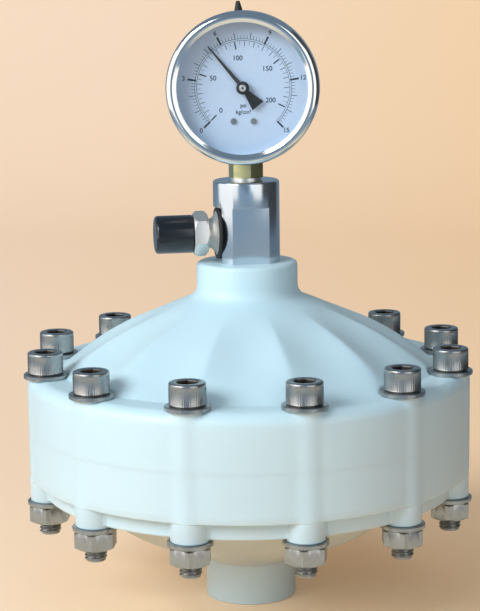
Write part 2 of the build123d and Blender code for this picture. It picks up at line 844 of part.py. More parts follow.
with BuildPart() as seal_washer:
    with BuildSketch(Plane.XY.offset(block_top)):
        Circle(seal_washer_radius)
        Circle(socket_thread_radius + slip_clearance, mode=Mode.SUBTRACT)
    extrude(amount=seal_washer_thickness)
seal_washer.part.label = "seal_washer"

# Pressed steel case, open to the front, with holes for the neck, the filler plug and two screws
plug_direction = clock(1, plug_turn)
plug_axis_direction = Vector(plug_direction[0], 0, plug_direction[1])
plug_plane = Plane(origin=(0, 0, gauge_level), x_dir=(0, 1, 0), z_dir=plug_axis_direction)
with BuildPart() as gauge_case:
    with BuildSketch(gauge_section):
        with BuildLine():
            Polyline(
                (0, case_back - case_wall),
                (0, case_back),
                (case_radius, case_back),
                (case_radius, case_flange_thickness - case_front),
                (case_flange_radius, case_flange_thickness - case_front),
                (case_flange_radius, -case_front),
                (case_inner_radius, -case_front),
                (case_inner_radius, case_back - case_wall),
                (0, case_back - case_wall),
            )
        make_face()
    revolve(axis=gauge_axis)
    rims = gauge_case.edges().filter_by(GeomType.CIRCLE)
    fillet(rims.sort_by(Axis.Y)[-1], case_wall)
    with BuildSketch(Plane.XY.offset(gauge_level - case_radius - case_wall)):
        Circle(socket_neck_radius + slip_clearance)
    extrude(amount=case_radius / 2, mode=Mode.SUBTRACT)
    with BuildSketch(plug_plane):
        Circle(plug_shank_radius + slip_clearance)
    extrude(amount=case_radius + case_wall, mode=Mode.SUBTRACT)
    with BuildSketch(face_plane(-case_back)):
        with Locations(case_screw_points):
            Circle(case_screw_radius + slip_clearance)
    extrude(amount=case_wall, mode=Mode.SUBTRACT)
gauge_case.part.label = "gauge_case"

with BuildPart() as case_screws:
    with BuildSketch(face_plane(-case_back)):
        with Locations(case_screw_points):
            Circle(case_screw_head_radius)
    extrude(amount=-case_screw_head_height)
    chamfer(case_screws.edges().group_by(Axis.Y)[-1], case_screw_head_chamfer)
    with BuildSketch(face_plane(-case_back)):
        with Locations(case_screw_points):
            Circle(case_screw_radius)
    extrude(amount=case_screw_length)
case_screws.part.label = "case_screws"

# Rubber filler plug on top of the case: a hollow shank, a flange and a pointed tip
with BuildPart() as filler_plug:
    with BuildSketch(plug_plane.offset(case_inner_radius - plug_shank_length)):
        Circle(plug_shank_radius)
    extrude(amount=plug_shank_length + case_wall)
    with BuildSketch(plug_plane.offset(case_radius)):
        Circle(plug_flange_radius)
    extrude(amount=plug_flange_height)
    with BuildSketch(plug_plane.offset(case_radius + plug_flange_height)):
        Circle(plug_shank_radius)
    with BuildSketch(plug_plane.offset(case_radius + plug_flange_height + plug_tip_height)):
        Circle(plug_tip_radius)
    loft()
filler_plug.part.label = "filler_plug"

# Polished bezel ring, rolled behind the flange of the case
gasket_front = case_front + window_gasket_thickness
window_front = gasket_front + window_thickness
bezel_front = window_front + bezel_wall
bezel_back = bezel_front - bezel_depth
with BuildPart() as gauge_bezel:
    hook = case_front - case_flange_thickness - slip_clearance
    bore = case_flange_radius + slip_clearance
    shoulder = (bezel_radius - bezel_edge_radius, -bezel_front)
    side = (bezel_radius, bezel_edge_radius - bezel_front)
    with BuildSketch(gauge_section):
        with BuildLine():
            Line((bezel_lip_radius + bezel_wall / 2, -bezel_front), shoulder)
            RadiusArc(shoulder, side, -bezel_edge_radius)
            Polyline(
                side,
                (bezel_radius, -bezel_back - bezel_wall),
                (bezel_radius - bezel_wall, -bezel_back),
                (case_radius + slip_clearance, -bezel_back),
                (case_radius + slip_clearance, -hook),
                (bore, -hook),
                (bore, -window_front),
                (bezel_lip_radius, -window_front),
                (bezel_lip_radius, -window_front - bezel_wall / 2),
                (bezel_lip_radius + bezel_wall / 2, -bezel_front),
            )
        make_face()
    revolve(axis=gauge_axis)
gauge_bezel.part.label = "gauge_bezel"

with BuildPart() as window_gasket:
    with BuildSketch(face_plane(case_front)):
        Circle(case_flange_radius)
        Circle(case_inner_radius, mode=Mode.SUBTRACT)
    extrude(amount=window_gasket_thickness)
window_gasket.part.label = "window_gasket"

with BuildPart() as gauge_window:
    with BuildSketch(face_plane(gasket_front)):
        Circle(window_radius)
    extrude(amount=window_thickness)
gauge_window.part.label = "gauge_window"

# Dial plate and the two screws that hold it to the posts of the movement
dial_front = dial_back + dial_thickness
dial_screw_points = [(-dial_screw_spread, -dial_screw_drop), (dial_screw_spread, -dial_screw_drop)]
with BuildPart() as dial:
    with BuildSketch(face_plane(dial_back)):
        Circle(dial_radius)
        Circle(dial_bore_radius, mode=Mode.SUBTRACT)
        with Locations(dial_screw_points):
            Circle(dial_shank_radius + slip_clearance, mode=Mode.SUBTRACT)
    extrude(amount=dial_thickness)
dial.part.label = "dial"

with BuildPart() as dial_screws:
    with BuildSketch(face_plane(dial_front)):
        with Locations(dial_screw_points):
            Circle(dial_screw_radius)
    extrude(amount=dial_screw_head)
    with BuildSketch(face_plane(dial_front)):
        with Locations(dial_screw_points):
            Circle(dial_shank_radius)
    extrude(amount=-dial_thickness - dial_screw_reach)
dial_screws.part.label = "dial_screws"

# Movement: two plates and their pillars, the pinion on its arbor, the toothed sector and the link
pillar_points = [
    (-pillar_left, -pillar_low),
    (-pillar_left, pillar_left_rise),
    (pillar_right, pillar_right_rise),
]
hairspring_post = (-hairspring_radius - post_radius, 0.0)
pinion_pitch_radius = gear_module * pinion_teeth / 2
sector_pitch_radius = gear_module * sector_full_teeth / 2
sector_pivot = clock(pinion_pitch_radius + sector_pitch_radius, sector_pivot_turn)
link_front = sector_back - link_gap
back_plate_back = -socket_head_front
back_plate_front = back_plate_back + plate_thickness
front_plate_front = front_plate_back + plate_thickness
lug_back = back_plate_front - tip_lug_thickness / 2
link_back = lug_back + tip_lug_thickness + link_gap
tip_pin = clock(tube_radius, tip_pin_turn)
tip_block = clock(tube_radius, tube_tip_turn)


def plate_outline():
    """Rounded plate that reaches round the pillars and both pivots."""
    left = min(x for x, z in pillar_points) - plate_margin
    right = max(x for x, z in pillar_points + [sector_pivot]) + plate_margin
    top = max(z for x, z in pillar_points) + plate_margin
    low = sector_pivot[1] - plate_margin
    with BuildSketch() as outline:
        with Locations(((left + right) / 2, (low + top) / 2)):
            RectangleRounded(right - left, top - low, plate_margin - slip_clearance)
    return outline.sketch


def around(centre, radius, turn):
    """Point of the gauge face at a clockwise turn round another point."""
    offset = clock(radius, turn)
    return (centre[0] + offset[0], centre[1] + offset[1])


def gear_teeth(centre, pitch_radius, turns):
    """Straight-sided teeth that stand across a pitch circle."""
    root = pitch_radius - tooth_depth
    tip = pitch_radius + tooth_height
    with BuildSketch() as teeth:
        for turn in turns:
            side = clock(1, turn + 90)
            low = around(centre, root, turn)
            high = around(centre, tip, turn)
            with BuildLine():
                Polyline(
                    (low[0] - tooth_root_half * side[0], low[1] - tooth_root_half * side[1]),
                    (high[0] - tooth_tip_half * side[0], high[1] - tooth_tip_half * side[1]),
                    (high[0] + tooth_tip_half * side[0], high[1] + tooth_tip_half * side[1]),
                    (low[0] + tooth_root_half * side[0], low[1] + tooth_root_half * side[1]),
                    close=True,
                )
            make_face()
    return teeth.sketch


def eye_bar(start, end, radius):
    """Flat bar with a round eye at each end."""
    with BuildSketch() as bar:
        middle = ((start[0] + end[0]) / 2, (start[1] + end[1]) / 2)
        angle = degrees(atan2(end[1] - start[1], end[0] - start[0]))
        with Locations(start, end):
            Circle(radius)
        with Locations(Location((*middle, 0), (0, 0, angle))):
            Rectangle(hypot(end[0] - start[0], end[1] - start[1]), bar_width)
    return bar.sketch


with BuildPart() as movement_back_plate:
    with BuildSketch(face_plane(back_plate_back)):
        add(plate_outline())
        foot_low = movement_screw_points[0][1] - plate_margin + slip_clearance
        with Locations((0, (foot_low + sector_pivot[1]) / 2)):
            Rectangle(2 * head_half - 2 * slip_clearance, sector_pivot[1] - foot_low)
        with Locations((0, 0), sector_pivot):
            Circle(arbor_radius + arbor_clearance, mode=Mode.SUBTRACT)
        with Locations(movement_screw_points):
            Circle(movement_screw_radius + slip_clearance, mode=Mode.SUBTRACT)
    extrude(amount=plate_thickness)
    with BuildSketch(face_plane(back_plate_front)):
        with Locations(hairspring_post):
            Circle(post_radius)
    extrude(amount=hairspring_back + hairspring_width - back_plate_front)
movement_back_plate.part.label = "movement_back_plate"

with BuildPart() as movement_front_plate:
    with BuildSketch(face_plane(front_plate_back)):
        add(plate_outline())
        with Locations((0, 0), sector_pivot):
            Circle(arbor_radius + arbor_clearance, mode=Mode.SUBTRACT)
    extrude(amount=plate_thickness)
    with BuildSketch(face_plane(back_plate_front)):
        with Locations(pillar_points):
            Circle(pillar_radius)
    extrude(amount=front_plate_back - back_plate_front)
    with BuildSketch(face_plane(front_plate_front)):
        with Locations(dial_screw_points):
            Circle(dial_screw_radius + fit_clearance)
    extrude(amount=dial_back - front_plate_front)
    with BuildSketch(face_plane(dial_back)):
        with Locations(dial_screw_points):
            Circle(dial_shank_radius + slip_clearance)
    extrude(amount=-dial_screw_reach - slip_clearance, mode=Mode.SUBTRACT)
movement_front_plate.part.label = "movement_front_plate"

with BuildPart() as movement_screws:
    with BuildSketch(face_plane(back_plate_front)):
        with Locations(movement_screw_points):
            Circle(movement_screw_head_radius)
    extrude(amount=movement_screw_head)
    with BuildSketch(face_plane(back_plate_front)):
        with Locations(movement_screw_points):
            Circle(movement_screw_radius)
    extrude(amount=-movement_screw_length)
movement_screws.part.label = "movement_screws"

# Bourdon tube: a flattened hollow tube rolled into an arc, closed by a cap with a lug
with BuildPart() as bourdon_tube:
    with BuildSketch(tube_plane):
        with Locations((tube_radius, tube_centre)):
            Rectangle(tube_section, tube_width)
            inner_section = tube_section - 2 * tube_wall
            Rectangle(inner_section, tube_width - 2 * tube_wall, mode=Mode.SUBTRACT)
    revolve(axis=gauge_axis, revolution_arc=tube_arc)
    with BuildSketch(face_plane(-tube_back)):
        with Locations(Location((*tip_block, 0), (0, 0, -tube_tip_turn))):
            Rectangle(tip_cap_length, tube_section)
    extrude(amount=tube_back + lug_back)
    with BuildSketch(face_plane(lug_back)):
        add(eye_bar(tip_block, tip_pin, eye_radius))
        with Locations(tip_pin):
            Circle(tail_pin_radius + arbor_clearance, mode=Mode.SUBTRACT)
    extrude(amount=tip_lug_thickness)
bourdon_tube.part.label = "bourdon_tube"

# Link between the sector's tail and the lug of the tube
tail_pin = around(sector_pivot, tail_radius, tail_turn)
with BuildPart() as movement_link:
    with BuildSketch(face_plane(link_back)):
        add(eye_bar(tail_pin, tip_pin, eye_radius))
        with Locations(tail_pin, tip_pin):
            Circle(tail_pin_radius + arbor_clearance, mode=Mode.SUBTRACT)
    extrude(amount=link_front - link_back)
movement_link.part.label = "movement_link"

# Toothed sector with its arbor and tail pin
tooth_pitch = 360 / sector_full_teeth
mesh_turn = sector_pivot_turn + 180
sector_turns = [mesh_turn + i * tooth_pitch for i in range(-sector_teeth_before, sector_teeth_after + 1)]
rim_outer = sector_pitch_radius - tooth_core_depth
rim_turns = (sector_turns[0] - tooth_pitch / 2, sector_turns[-1] + tooth_pitch / 2)
with BuildPart() as sector_gear:
    with BuildSketch(face_plane(sector_back)):
        with BuildLine():
            start = around(sector_pivot, rim_outer, rim_turns[0])
            middle = around(sector_pivot, rim_outer, sum(rim_turns) / 2)
            end = around(sector_pivot, rim_outer, rim_turns[1])
            Line(sector_pivot, start)
            ThreePointArc(start, middle, end)
            Line(end, sector_pivot)
        make_face()
        add(gear_teeth(sector_pivot, sector_pitch_radius, sector_turns))
        with BuildLine():
            inner = rim_outer - sector_rim
            spoke = tooth_pitch
            start = around(sector_pivot, inner, rim_turns[0] + spoke)
            middle = around(sector_pivot, inner, sum(rim_turns) / 2)
            end = around(sector_pivot, inner, rim_turns[1] - spoke)
            point = around(sector_pivot, sector_window_start, sum(rim_turns) / 2)
            Line(point, start)
            ThreePointArc(start, middle, end)
            Line(end, point)
        make_face(mode=Mode.SUBTRACT)
        add(eye_bar(sector_pivot, tail_pin, eye_radius))
        with Locations(sector_pivot):
            Circle(sector_hub_radius)
    extrude(amount=sector_thickness)
    with BuildSketch(face_plane(back_plate_back)):
        with Locations(sector_pivot):
            Circle(arbor_radius)
    extrude(amount=front_plate_front - back_plate_back)
    with BuildSketch(face_plane(link_back)):
        with Locations(tail_pin):
            Circle(tail_pin_radius)
    extrude(amount=sector_back - link_back)
sector_gear.part.label = "sector_gear"

# Pinion cut on its arbor, which carries the pointer
pinion_turns = [sector_pivot_turn + 360 / pinion_teeth * (i + 0.5) for i in range(pinion_teeth)]
pointer_back = dial_front + pointer_gap
arbor_front = pointer_back + pointer_thickness + pointer_hub_height / 2
with BuildPart() as pinion_arbor:
    with BuildSketch(face_plane(back_plate_back)):
        Circle(arbor_radius)
    extrude(amount=arbor_front - back_plate_back)
    with BuildSketch(face_plane(pinion_back)):
        Circle(pinion_pitch_radius - tooth_core_depth)
        add(gear_teeth((0, 0), pinion_pitch_radius, pinion_turns))
    extrude(amount=pinion_length)
pinion_arbor.part.label = "pinion_arbor"

# Hairspring: a flat spiral from the arbor out to the post of the back plate
with BuildPart() as hairspring:
    with BuildSketch(face_plane(hairspring_back)):
        with BuildLine():
            spiral_start = arbor_radius + arbor_clearance + hairspring_strip
            growth = (hairspring_radius - spiral_start) / hairspring_turns
            first_turn = hairspring_end_turn - 360 * hairspring_turns
            count = hairspring_steps * hairspring_turns
            steps = [360 * hairspring_turns * i / count for i in range(count + 1)]
            outside = [clock(spiral_start + growth * step / 360, first_turn + step) for step in steps]
            inside = [
                clock(spiral_start - hairspring_strip + growth * step / 360, first_turn + step)
                for step in steps
            ]
            Spline(*outside)
            Line(outside[-1], inside[-1])
            Spline(*inside)
            Line(outside[0], inside[0])
        make_face()
    extrude(amount=hairspring_width)
hairspring.part.label = "hairspring"

# Pointer: a tapered needle, a spade tail and a round hub
with BuildPart() as pointer:
    with BuildSketch(face_plane(pointer_back)):
        side = clock(1, pointer_turn + 90)
        needle_root = clock(pointer_hub_radius / 2, pointer_turn)
        needle_tip = clock(pointer_length, pointer_turn)
        tail_root = clock(pointer_hub_radius / 2, pointer_turn + 180)
        tail_end = clock(pointer_tail, pointer_turn + 180)
        outline = [
            (needle_root, -pointer_root_width / 2),
            (needle_tip, -pointer_tip_width / 2),
            (needle_tip, pointer_tip_width / 2),
            (needle_root, pointer_root_width / 2),
            (tail_root, pointer_root_width / 2),
            (tail_end, pointer_tail_width / 2),
            (tail_end, -pointer_tail_width / 2),
            (tail_root, -pointer_root_width / 2),
        ]
        with BuildLine():
            Polyline(
                *[(point[0] + out * side[0], point[1] + out * side[1]) for point, out in outline],
                close=True,
            )
        make_face()
        Circle(pointer_hub_radius)
    extrude(amount=pointer_thickness)
    with BuildSketch(face_plane(pointer_back + pointer_thickness)):
        Circle(pointer_hub_radius)
    extrude(amount=pointer_hub_height)
    with BuildSketch(face_plane(pointer_back)):
        Circle(arbor_radius + slip_clearance)
    extrude(amount=arbor_front - pointer_back + slip_clearance, mode=Mode.SUBTRACT)
pointer.part.label = "pointer"

os.makedirs("parts", exist_ok=True)
export_step(upper_housing.part, "parts/upper_housing.step")
export_step(lower_housing.part, "parts/lower_housing.step")
export_step(diaphragm.part, "parts/diaphragm.step")
export_step(diaphragm_button.part, "parts/diaphragm_button.step")
export_step(socket_screws.part, "parts/socket_screws.step")
export_step(upper_washers.part, "parts/upper_washers.step")
export_step(lower_washers.part, "parts/lower_washers.step")
export_step(hex_nuts.part, "parts/hex_nuts.step")
export_step(gauge_block.part, "parts/gauge_block.step")
export_step(block_seal_ring.part, "parts/block_seal_ring.step")
export_step(valve_gasket.part, "parts/valve_gasket.step")
export_step(valve_body.part, "parts/valve_body.step")
export_step(valve_core.part, "parts/valve_core.step")
export_step(valve_pin.part, "parts/valve_pin.step")
export_step(valve_spring.part, "parts/valve_spring.step")
export_step(valve_cap.part, "parts/valve_cap.step")
export_step(cap_seal.part, "parts/cap_seal.step")
export_step(gauge_socket.part, "parts/gauge_socket.step")
export_step(seal_washer.part, "parts/seal_washer.step")
export_step(gauge_case.part, "parts/gauge_case.step")
export_step(case_screws.part, "parts/case_screws.step")
export_step(filler_plug.part, "parts/filler_plug.step")
export_step(gauge_bezel.part, "parts/gauge_bezel.step")
export_step(window_gasket.part, "parts/window_gasket.step")
export_step(gauge_window.part, "parts/gauge_window.step")
export_step(dial.part, "parts/dial.step")
export_step(dial_screws.part, "parts/dial_screws.step")
export_step(movement_back_plate.part, "parts/movement_back_plate.step")
export_step(movement_front_plate.part, "parts/movement_front_plate.step")
export_step(movement_screws.part, "parts/movement_screws.step")
export_step(bourdon_tube.part, "parts/bourdon_tube.step")
export_step(movement_link.part, "parts/movement_link.step")
export_step(sector_gear.part, "parts/sector_gear.step")
export_step(pinion_arbor.part, "parts/pinion_arbor.step")
export_step(hairspring.part, "parts/hairspring.step")
export_step(pointer.part, "parts/pointer.step")
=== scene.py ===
"""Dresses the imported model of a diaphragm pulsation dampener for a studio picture.

Every piece is built in the row frame in metres. A turned piece starts as a half section whose
points carry what its surface does there, and one node tree turns it about its own axis.
"""

import math

import bmesh
import bpy
from bpy.props import FloatProperty, FloatVectorProperty, IntProperty, PointerProperty
from mathutils import Matrix, Vector


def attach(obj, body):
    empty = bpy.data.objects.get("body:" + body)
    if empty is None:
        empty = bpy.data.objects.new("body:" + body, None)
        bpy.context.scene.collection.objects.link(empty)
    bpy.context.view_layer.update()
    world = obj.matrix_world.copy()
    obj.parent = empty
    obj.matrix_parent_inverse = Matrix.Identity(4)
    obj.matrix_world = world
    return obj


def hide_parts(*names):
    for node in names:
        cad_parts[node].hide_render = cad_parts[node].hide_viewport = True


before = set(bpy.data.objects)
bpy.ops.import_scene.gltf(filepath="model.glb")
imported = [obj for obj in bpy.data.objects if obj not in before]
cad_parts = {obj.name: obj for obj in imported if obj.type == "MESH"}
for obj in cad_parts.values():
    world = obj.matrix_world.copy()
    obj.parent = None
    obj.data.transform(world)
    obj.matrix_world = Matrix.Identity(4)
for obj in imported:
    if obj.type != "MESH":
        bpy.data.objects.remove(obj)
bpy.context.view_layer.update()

bl_info = {
    "name": "Pulsation dampener dressing",
    "version": (1, 0, 0),
    "blender": (4, 5, 0),
    "location": "View3D > Sidebar > Dampener",
    "description": "Builds the pieces, finishes and stage of a diaphragm pulsation dampener",
    "category": "Object",
}

MM = 0.001
PICTURE_HEIGHT = 611
BOLT_COUNT = 12
BOLT_CIRCLE = 0.095
SCREW_PITCH = 0.0015
BOLT_TURN = math.radians(-11.6 - 90)
VALVE_TURN = math.radians(13.2)
PLUG_TURN = math.radians(-4)

# Heights over the inlet's face, in millimetres
UNDER_FLANGE = 54.0
PARTING = 84.0
FLANGE = 110.0
VALVE_LEVEL = 172.3
GAUGE_LEVEL = 239.0

# Points closer than this, in metres, are one, and faces flatter than this angle are one
SAME_PLACE = 2e-6
NEARLY_FLAT = math.radians(0.4)

# Radii of a dome in millimetres: its foot, the inner ends of the bolt seats and of the flutes,
# and the knee where its straight slope begins to bend
DOME_FOOT = 87
SEAT_END = 78
FLUTE_END = 33
KNEE = 52

# Reach of the bosses through the wall, as a share of their own, and the blend there in metres
WALL_BOSS = 0.993
BOSS_BLEND = 0.003

# Roundness of the ridges, and rise over run of the wall round a bolt seat
CREST_ROUNDING = 0.12
SEAT_WALL_SLOPE = 5

# Heights of the dial's print, along the gauge's axis, and what the figures gain over the plain
# font, as a share of their height
STROKE_LEVEL = 9.12 * MM
FIGURE_LEVEL = 9.13 * MM
BOLDNESS = 0.02

# Turn of the dial's inner scale, as a share of the outer one's
INNER_SHARE = 250 / 270

# Distances from the object, in metres, where the near floor ends and where the cards stand
NEAR_FLOOR = (0.26, 0.46)
CARD_REACH = 0.75
CARD_HEIGHT = 0.6

GAUGE_PLACE = Matrix(((1, 0, 0, 0), (0, 0, -1, 0), (0, 1, 0, GAUGE_LEVEL * MM), (0, 0, 0, 1)))
VALVE_PLACE = Matrix(
    (
        (0, -math.sin(VALVE_TURN), -math.cos(VALVE_TURN), 0),
        (0, math.cos(VALVE_TURN), -math.sin(VALVE_TURN), 0),
        (1, 0, 0, VALVE_LEVEL * MM),
        (0, 0, 0, 1),
    )
)
PLUG_PLACE = Matrix.Translation((0, 0, GAUGE_LEVEL * MM)) @ Matrix.Rotation(PLUG_TURN, 4, "Y")


# Sizes and colours that a user would change

COLOUR = {"subtype": "COLOR", "size": 3, "min": 0, "max": 1}


class HousingSettings(bpy.types.PropertyGroup):
    """Sizes and colour of the two moulded halves."""

    colour: FloatVectorProperty(
        name="Plastic", description="Colour of the moulded halves",
        **COLOUR, default=(0.60, 0.845, 0.985),
    )
    roughness: FloatProperty(
        name="Roughness", description="Roughness of the moulded surface", subtype="FACTOR",
        min=0, max=1, default=0.42,
    )
    flute_depth: FloatProperty(
        name="Flute depth", description="Depth of the hollows between the ridges of a dome",
        unit="LENGTH", min=0, max=0.008, default=0.0036,
    )
    segments: IntProperty(
        name="Segments", description="Faces round each half, a multiple of the bolt count",
        min=120, max=720, default=480,
    )


class BoltSettings(bpy.types.PropertyGroup):
    """Sizes and colour of the fasteners."""

    colour: FloatVectorProperty(
        name="Steel", description="Colour of the screws, washers and nuts",
        **COLOUR, default=(0.43, 0.43, 0.42),
    )
    circle: FloatProperty(
        name="Bolt circle", description="Radius of the circle that the bolts stand on",
        unit="LENGTH", default=BOLT_CIRCLE,
    )
    knurls: IntProperty(
        name="Knurls", description="Fine ridges round each screw head", min=12, max=90, default=48
    )
    knurl_depth: FloatProperty(
        name="Knurl depth", description="Depth of the ridges round a head", unit="LENGTH",
        default=0.00028,
    )
    thread_pitch: FloatProperty(
        name="Thread pitch", description="Pitch of the screw threads", unit="LENGTH",
        default=SCREW_PITCH,
    )
    loose_turn: FloatProperty(
        name="Loose turn", description="Largest turn of a nut or head from the common direction",
        subtype="ANGLE", default=math.radians(6),
    )
    seed: IntProperty(name="Seed", description="Seed of the loose turns", default=4)


class MetalSettings(bpy.types.PropertyGroup):
    """Colours of the block, the valve and the gauge."""

    block: FloatVectorProperty(
        name="Block steel", description="Colour of the gauge block",
        **COLOUR, default=(0.66, 0.71, 0.76),
    )
    bezel: FloatVectorProperty(
        name="Bezel steel", description="Colour of the polished ring",
        **COLOUR, default=(0.78, 0.78, 0.77),
    )
    brass: FloatVectorProperty(
        name="Brass", description="Colour of the gauge stem",
        **COLOUR, default=(0.62, 0.58, 0.30),
    )
    cap: FloatVectorProperty(
        name="Cap plastic", description="Colour of the valve cap",
        **COLOUR, default=(0.008, 0.010, 0.014),
    )


class DialSettings(bpy.types.PropertyGroup):
    """Colours and sizes of the dial's print."""

    face: FloatVectorProperty(
        name="Dial", description="Colour of the dial plate",
        **COLOUR, default=(0.51, 0.70, 0.96),
    )
    ink: FloatVectorProperty(
        name="Ink", description="Colour of the scales and figures",
        **COLOUR, default=(0.02, 0.05, 0.09),
    )
    sweep: FloatProperty(
        name="Sweep", description="Turn of the pointer over the whole scale", subtype="ANGLE",
        default=math.radians(270),
    )
    line_radius: FloatProperty(
        name="Line radius", description="Radius of the line between the two scales",
        unit="LENGTH", default=0.0215,
    )
    figure_height: FloatProperty(
        name="Figure height", description="Height of the outer figures", unit="LENGTH",
        default=0.0036,
    )


class StageSettings(bpy.types.PropertyGroup):
    """Floor, light and camera."""

    backdrop_left: FloatVectorProperty(
        name="Backdrop left", description="Colour of the paper on the lit side",
        **COLOUR, default=(0.95, 0.80, 0.65),
    )
    # The right colour is the paper with painted shade, deeper than the left.
    backdrop_right: FloatVectorProperty(
        name="Backdrop right", description="Colour of the paper on the shaded side",
        **COLOUR, default=(0.96, 0.74, 0.49),
    )
    near_mirrored: FloatVectorProperty(
        name="Near floor in metal", description="Colour of the near floor, as metal mirrors it",
        **COLOUR, default=(1.0, 0.95, 0.80),
    )
    far_mirrored: FloatVectorProperty(
        name="Far floor in metal", description="Colour of the far floor, as metal mirrors it",
        **COLOUR, default=(0.26, 0.385, 0.51),
    )
    near_bounce: FloatVectorProperty(
        name="Near bounce", description="Colour of the light that the near floor throws back",
        **COLOUR, default=(1.0, 0.54, 0.27),
    )
    far_bounce: FloatVectorProperty(
        name="Far bounce", description="Colour of the light that the far floor throws back",
        **COLOUR, default=(0.88, 0.68, 0.52),
    )
    key_power: FloatProperty(
        name="Key light", description="Power of the large lamp on the left", unit="POWER",
        default=56.0,
    )
    fill_power: FloatProperty(
        name="Fill light", description="Power of the lamp on the right", unit="POWER",
        default=2.0,
    )
    sky: FloatProperty(
        name="Sky", description="Strength of the even light from all round", min=0, default=0.45
    )
    camera_place: FloatVectorProperty(
        name="Camera", description="Place of the camera", subtype="XYZ", unit="LENGTH",
        size=3, default=(0.0643, -0.8918, 0.2969),
    )
    camera_pitch: FloatProperty(
        name="Pitch", description="Turn of the camera below the horizon", subtype="ANGLE",
        default=math.radians(10.085),
    )
    camera_yaw: FloatProperty(
        name="Yaw", description="Turn of the camera about the upright", subtype="ANGLE",
        default=math.radians(4.35),
    )
    camera_roll: FloatProperty(
        name="Roll", description="Turn of the camera about its own line of sight", subtype="ANGLE",
        default=math.radians(-0.8),
    )
    camera_pixels: FloatProperty(
        name="Focal length", description="Focal length in pixels of the whole picture",
        default=1960.0,
    )


# Node trees


class Wiring:
    """Adds nodes to a tree and joins them, taking numbers or sockets as inputs."""

    def __init__(self, tree):
        self.tree = tree

    def node(self, kind, inputs=(), **settings):
        """New node of this kind, with its inputs fed and its settings set."""
        made = self.tree.nodes.new(kind)
        for name, value in settings.items():
            setattr(made, name, value)
        for key, value in dict(inputs).items():
            self.feed(value, made.inputs[key])
        return made

    def out(self, kind, inputs=(), **settings):
        """First output of a new node."""
        return self.node(kind, inputs, **settings).outputs[0]

    def feed(self, value, socket):
        """Links a socket to an input, or sets the input to a plain value."""
        if isinstance(value, bpy.types.NodeSocket):
            self.tree.links.new(value, socket)
        else:
            socket.default_value = value

    def math(self, operation, *values):
        """Result of one step of arithmetic."""
        made = self.node("ShaderNodeMath", operation=operation)
        for value, socket in zip(values, made.inputs):
            self.feed(value, socket)
        return made.outputs[0]

    def plus(self, first, second):
        """Sum of two numbers."""
        return self.math("ADD", first, second)

    def minus(self, first, second):
        """Difference of two numbers."""
        return self.math("SUBTRACT", first, second)

    def times(self, first, second):
        """Product of two numbers."""
        return self.math("MULTIPLY", first, second)

    def over(self, first, second):
        """Quotient of two numbers."""
        return self.math("DIVIDE", first, second)

    def distance(self, x, y):
        """Distance of a place from the upright axis."""
        return self.math("SQRT", self.plus(self.times(x, x), self.times(y, y)))

    def vector(self, x=0.0, y=0.0, z=0.0):
        """Vector of three numbers."""
        return self.out("ShaderNodeCombineXYZ", {0: x, 1: y, 2: z})

    def parts(self, vector):
        """The three numbers of a vector, under X, Y and Z."""
        return self.node("ShaderNodeSeparateXYZ", {0: vector}).outputs

    def mixed(self, factor, first, second):
        """Colour between two colours or colour sockets."""
        made = self.node("ShaderNodeMix", {0: factor}, data_type="RGBA")
        for value, socket in ((first, made.inputs[6]), (second, made.inputs[7])):
            self.feed(value if isinstance(value, bpy.types.NodeSocket) else (*value, 1), socket)
        return made.outputs[2]


def new_tree(name, **inputs):
    """Geometry tree with inputs of these names and defaults, and one for its material."""
    kinds = {int: "NodeSocketInt", float: "NodeSocketFloat"}
    tree = bpy.data.node_groups.new(name, "GeometryNodeTree")
    tree.interface.new_socket("Geometry", in_out="INPUT", socket_type="NodeSocketGeometry")
    tree.interface.new_socket("Geometry", in_out="OUTPUT", socket_type="NodeSocketGeometry")
    for title, default in {**inputs, "Material": "NodeSocketMaterial"}.items():
        kind = kinds.get(type(default), default)
        title = title.replace("_", " ")
        made = tree.interface.new_socket(title, in_out="INPUT", socket_type=kind)
        if kind != default:
            made.default_value = default
    w = Wiring(tree)
    return w, w.node("NodeGroupInput").outputs


def close_tree(w, geometry, material):
    """Ends a tree with real geometry that carries its material."""
    real = w.out("GeometryNodeRealizeInstances", {0: geometry})
    painted = w.out("GeometryNodeSetMaterial", {0: real, "Material": material})
    w.node("NodeGroupOutput", {0: painted})
    return w.tree


def stood(w, points, instance, turn):
    """A copy of one geometry on every point, with its own turn about Z."""
    inputs = {"Points": points, "Instance": instance, "Rotation": w.vector(z=turn)}
    return w.out("GeometryNodeInstanceOnPoints", inputs)


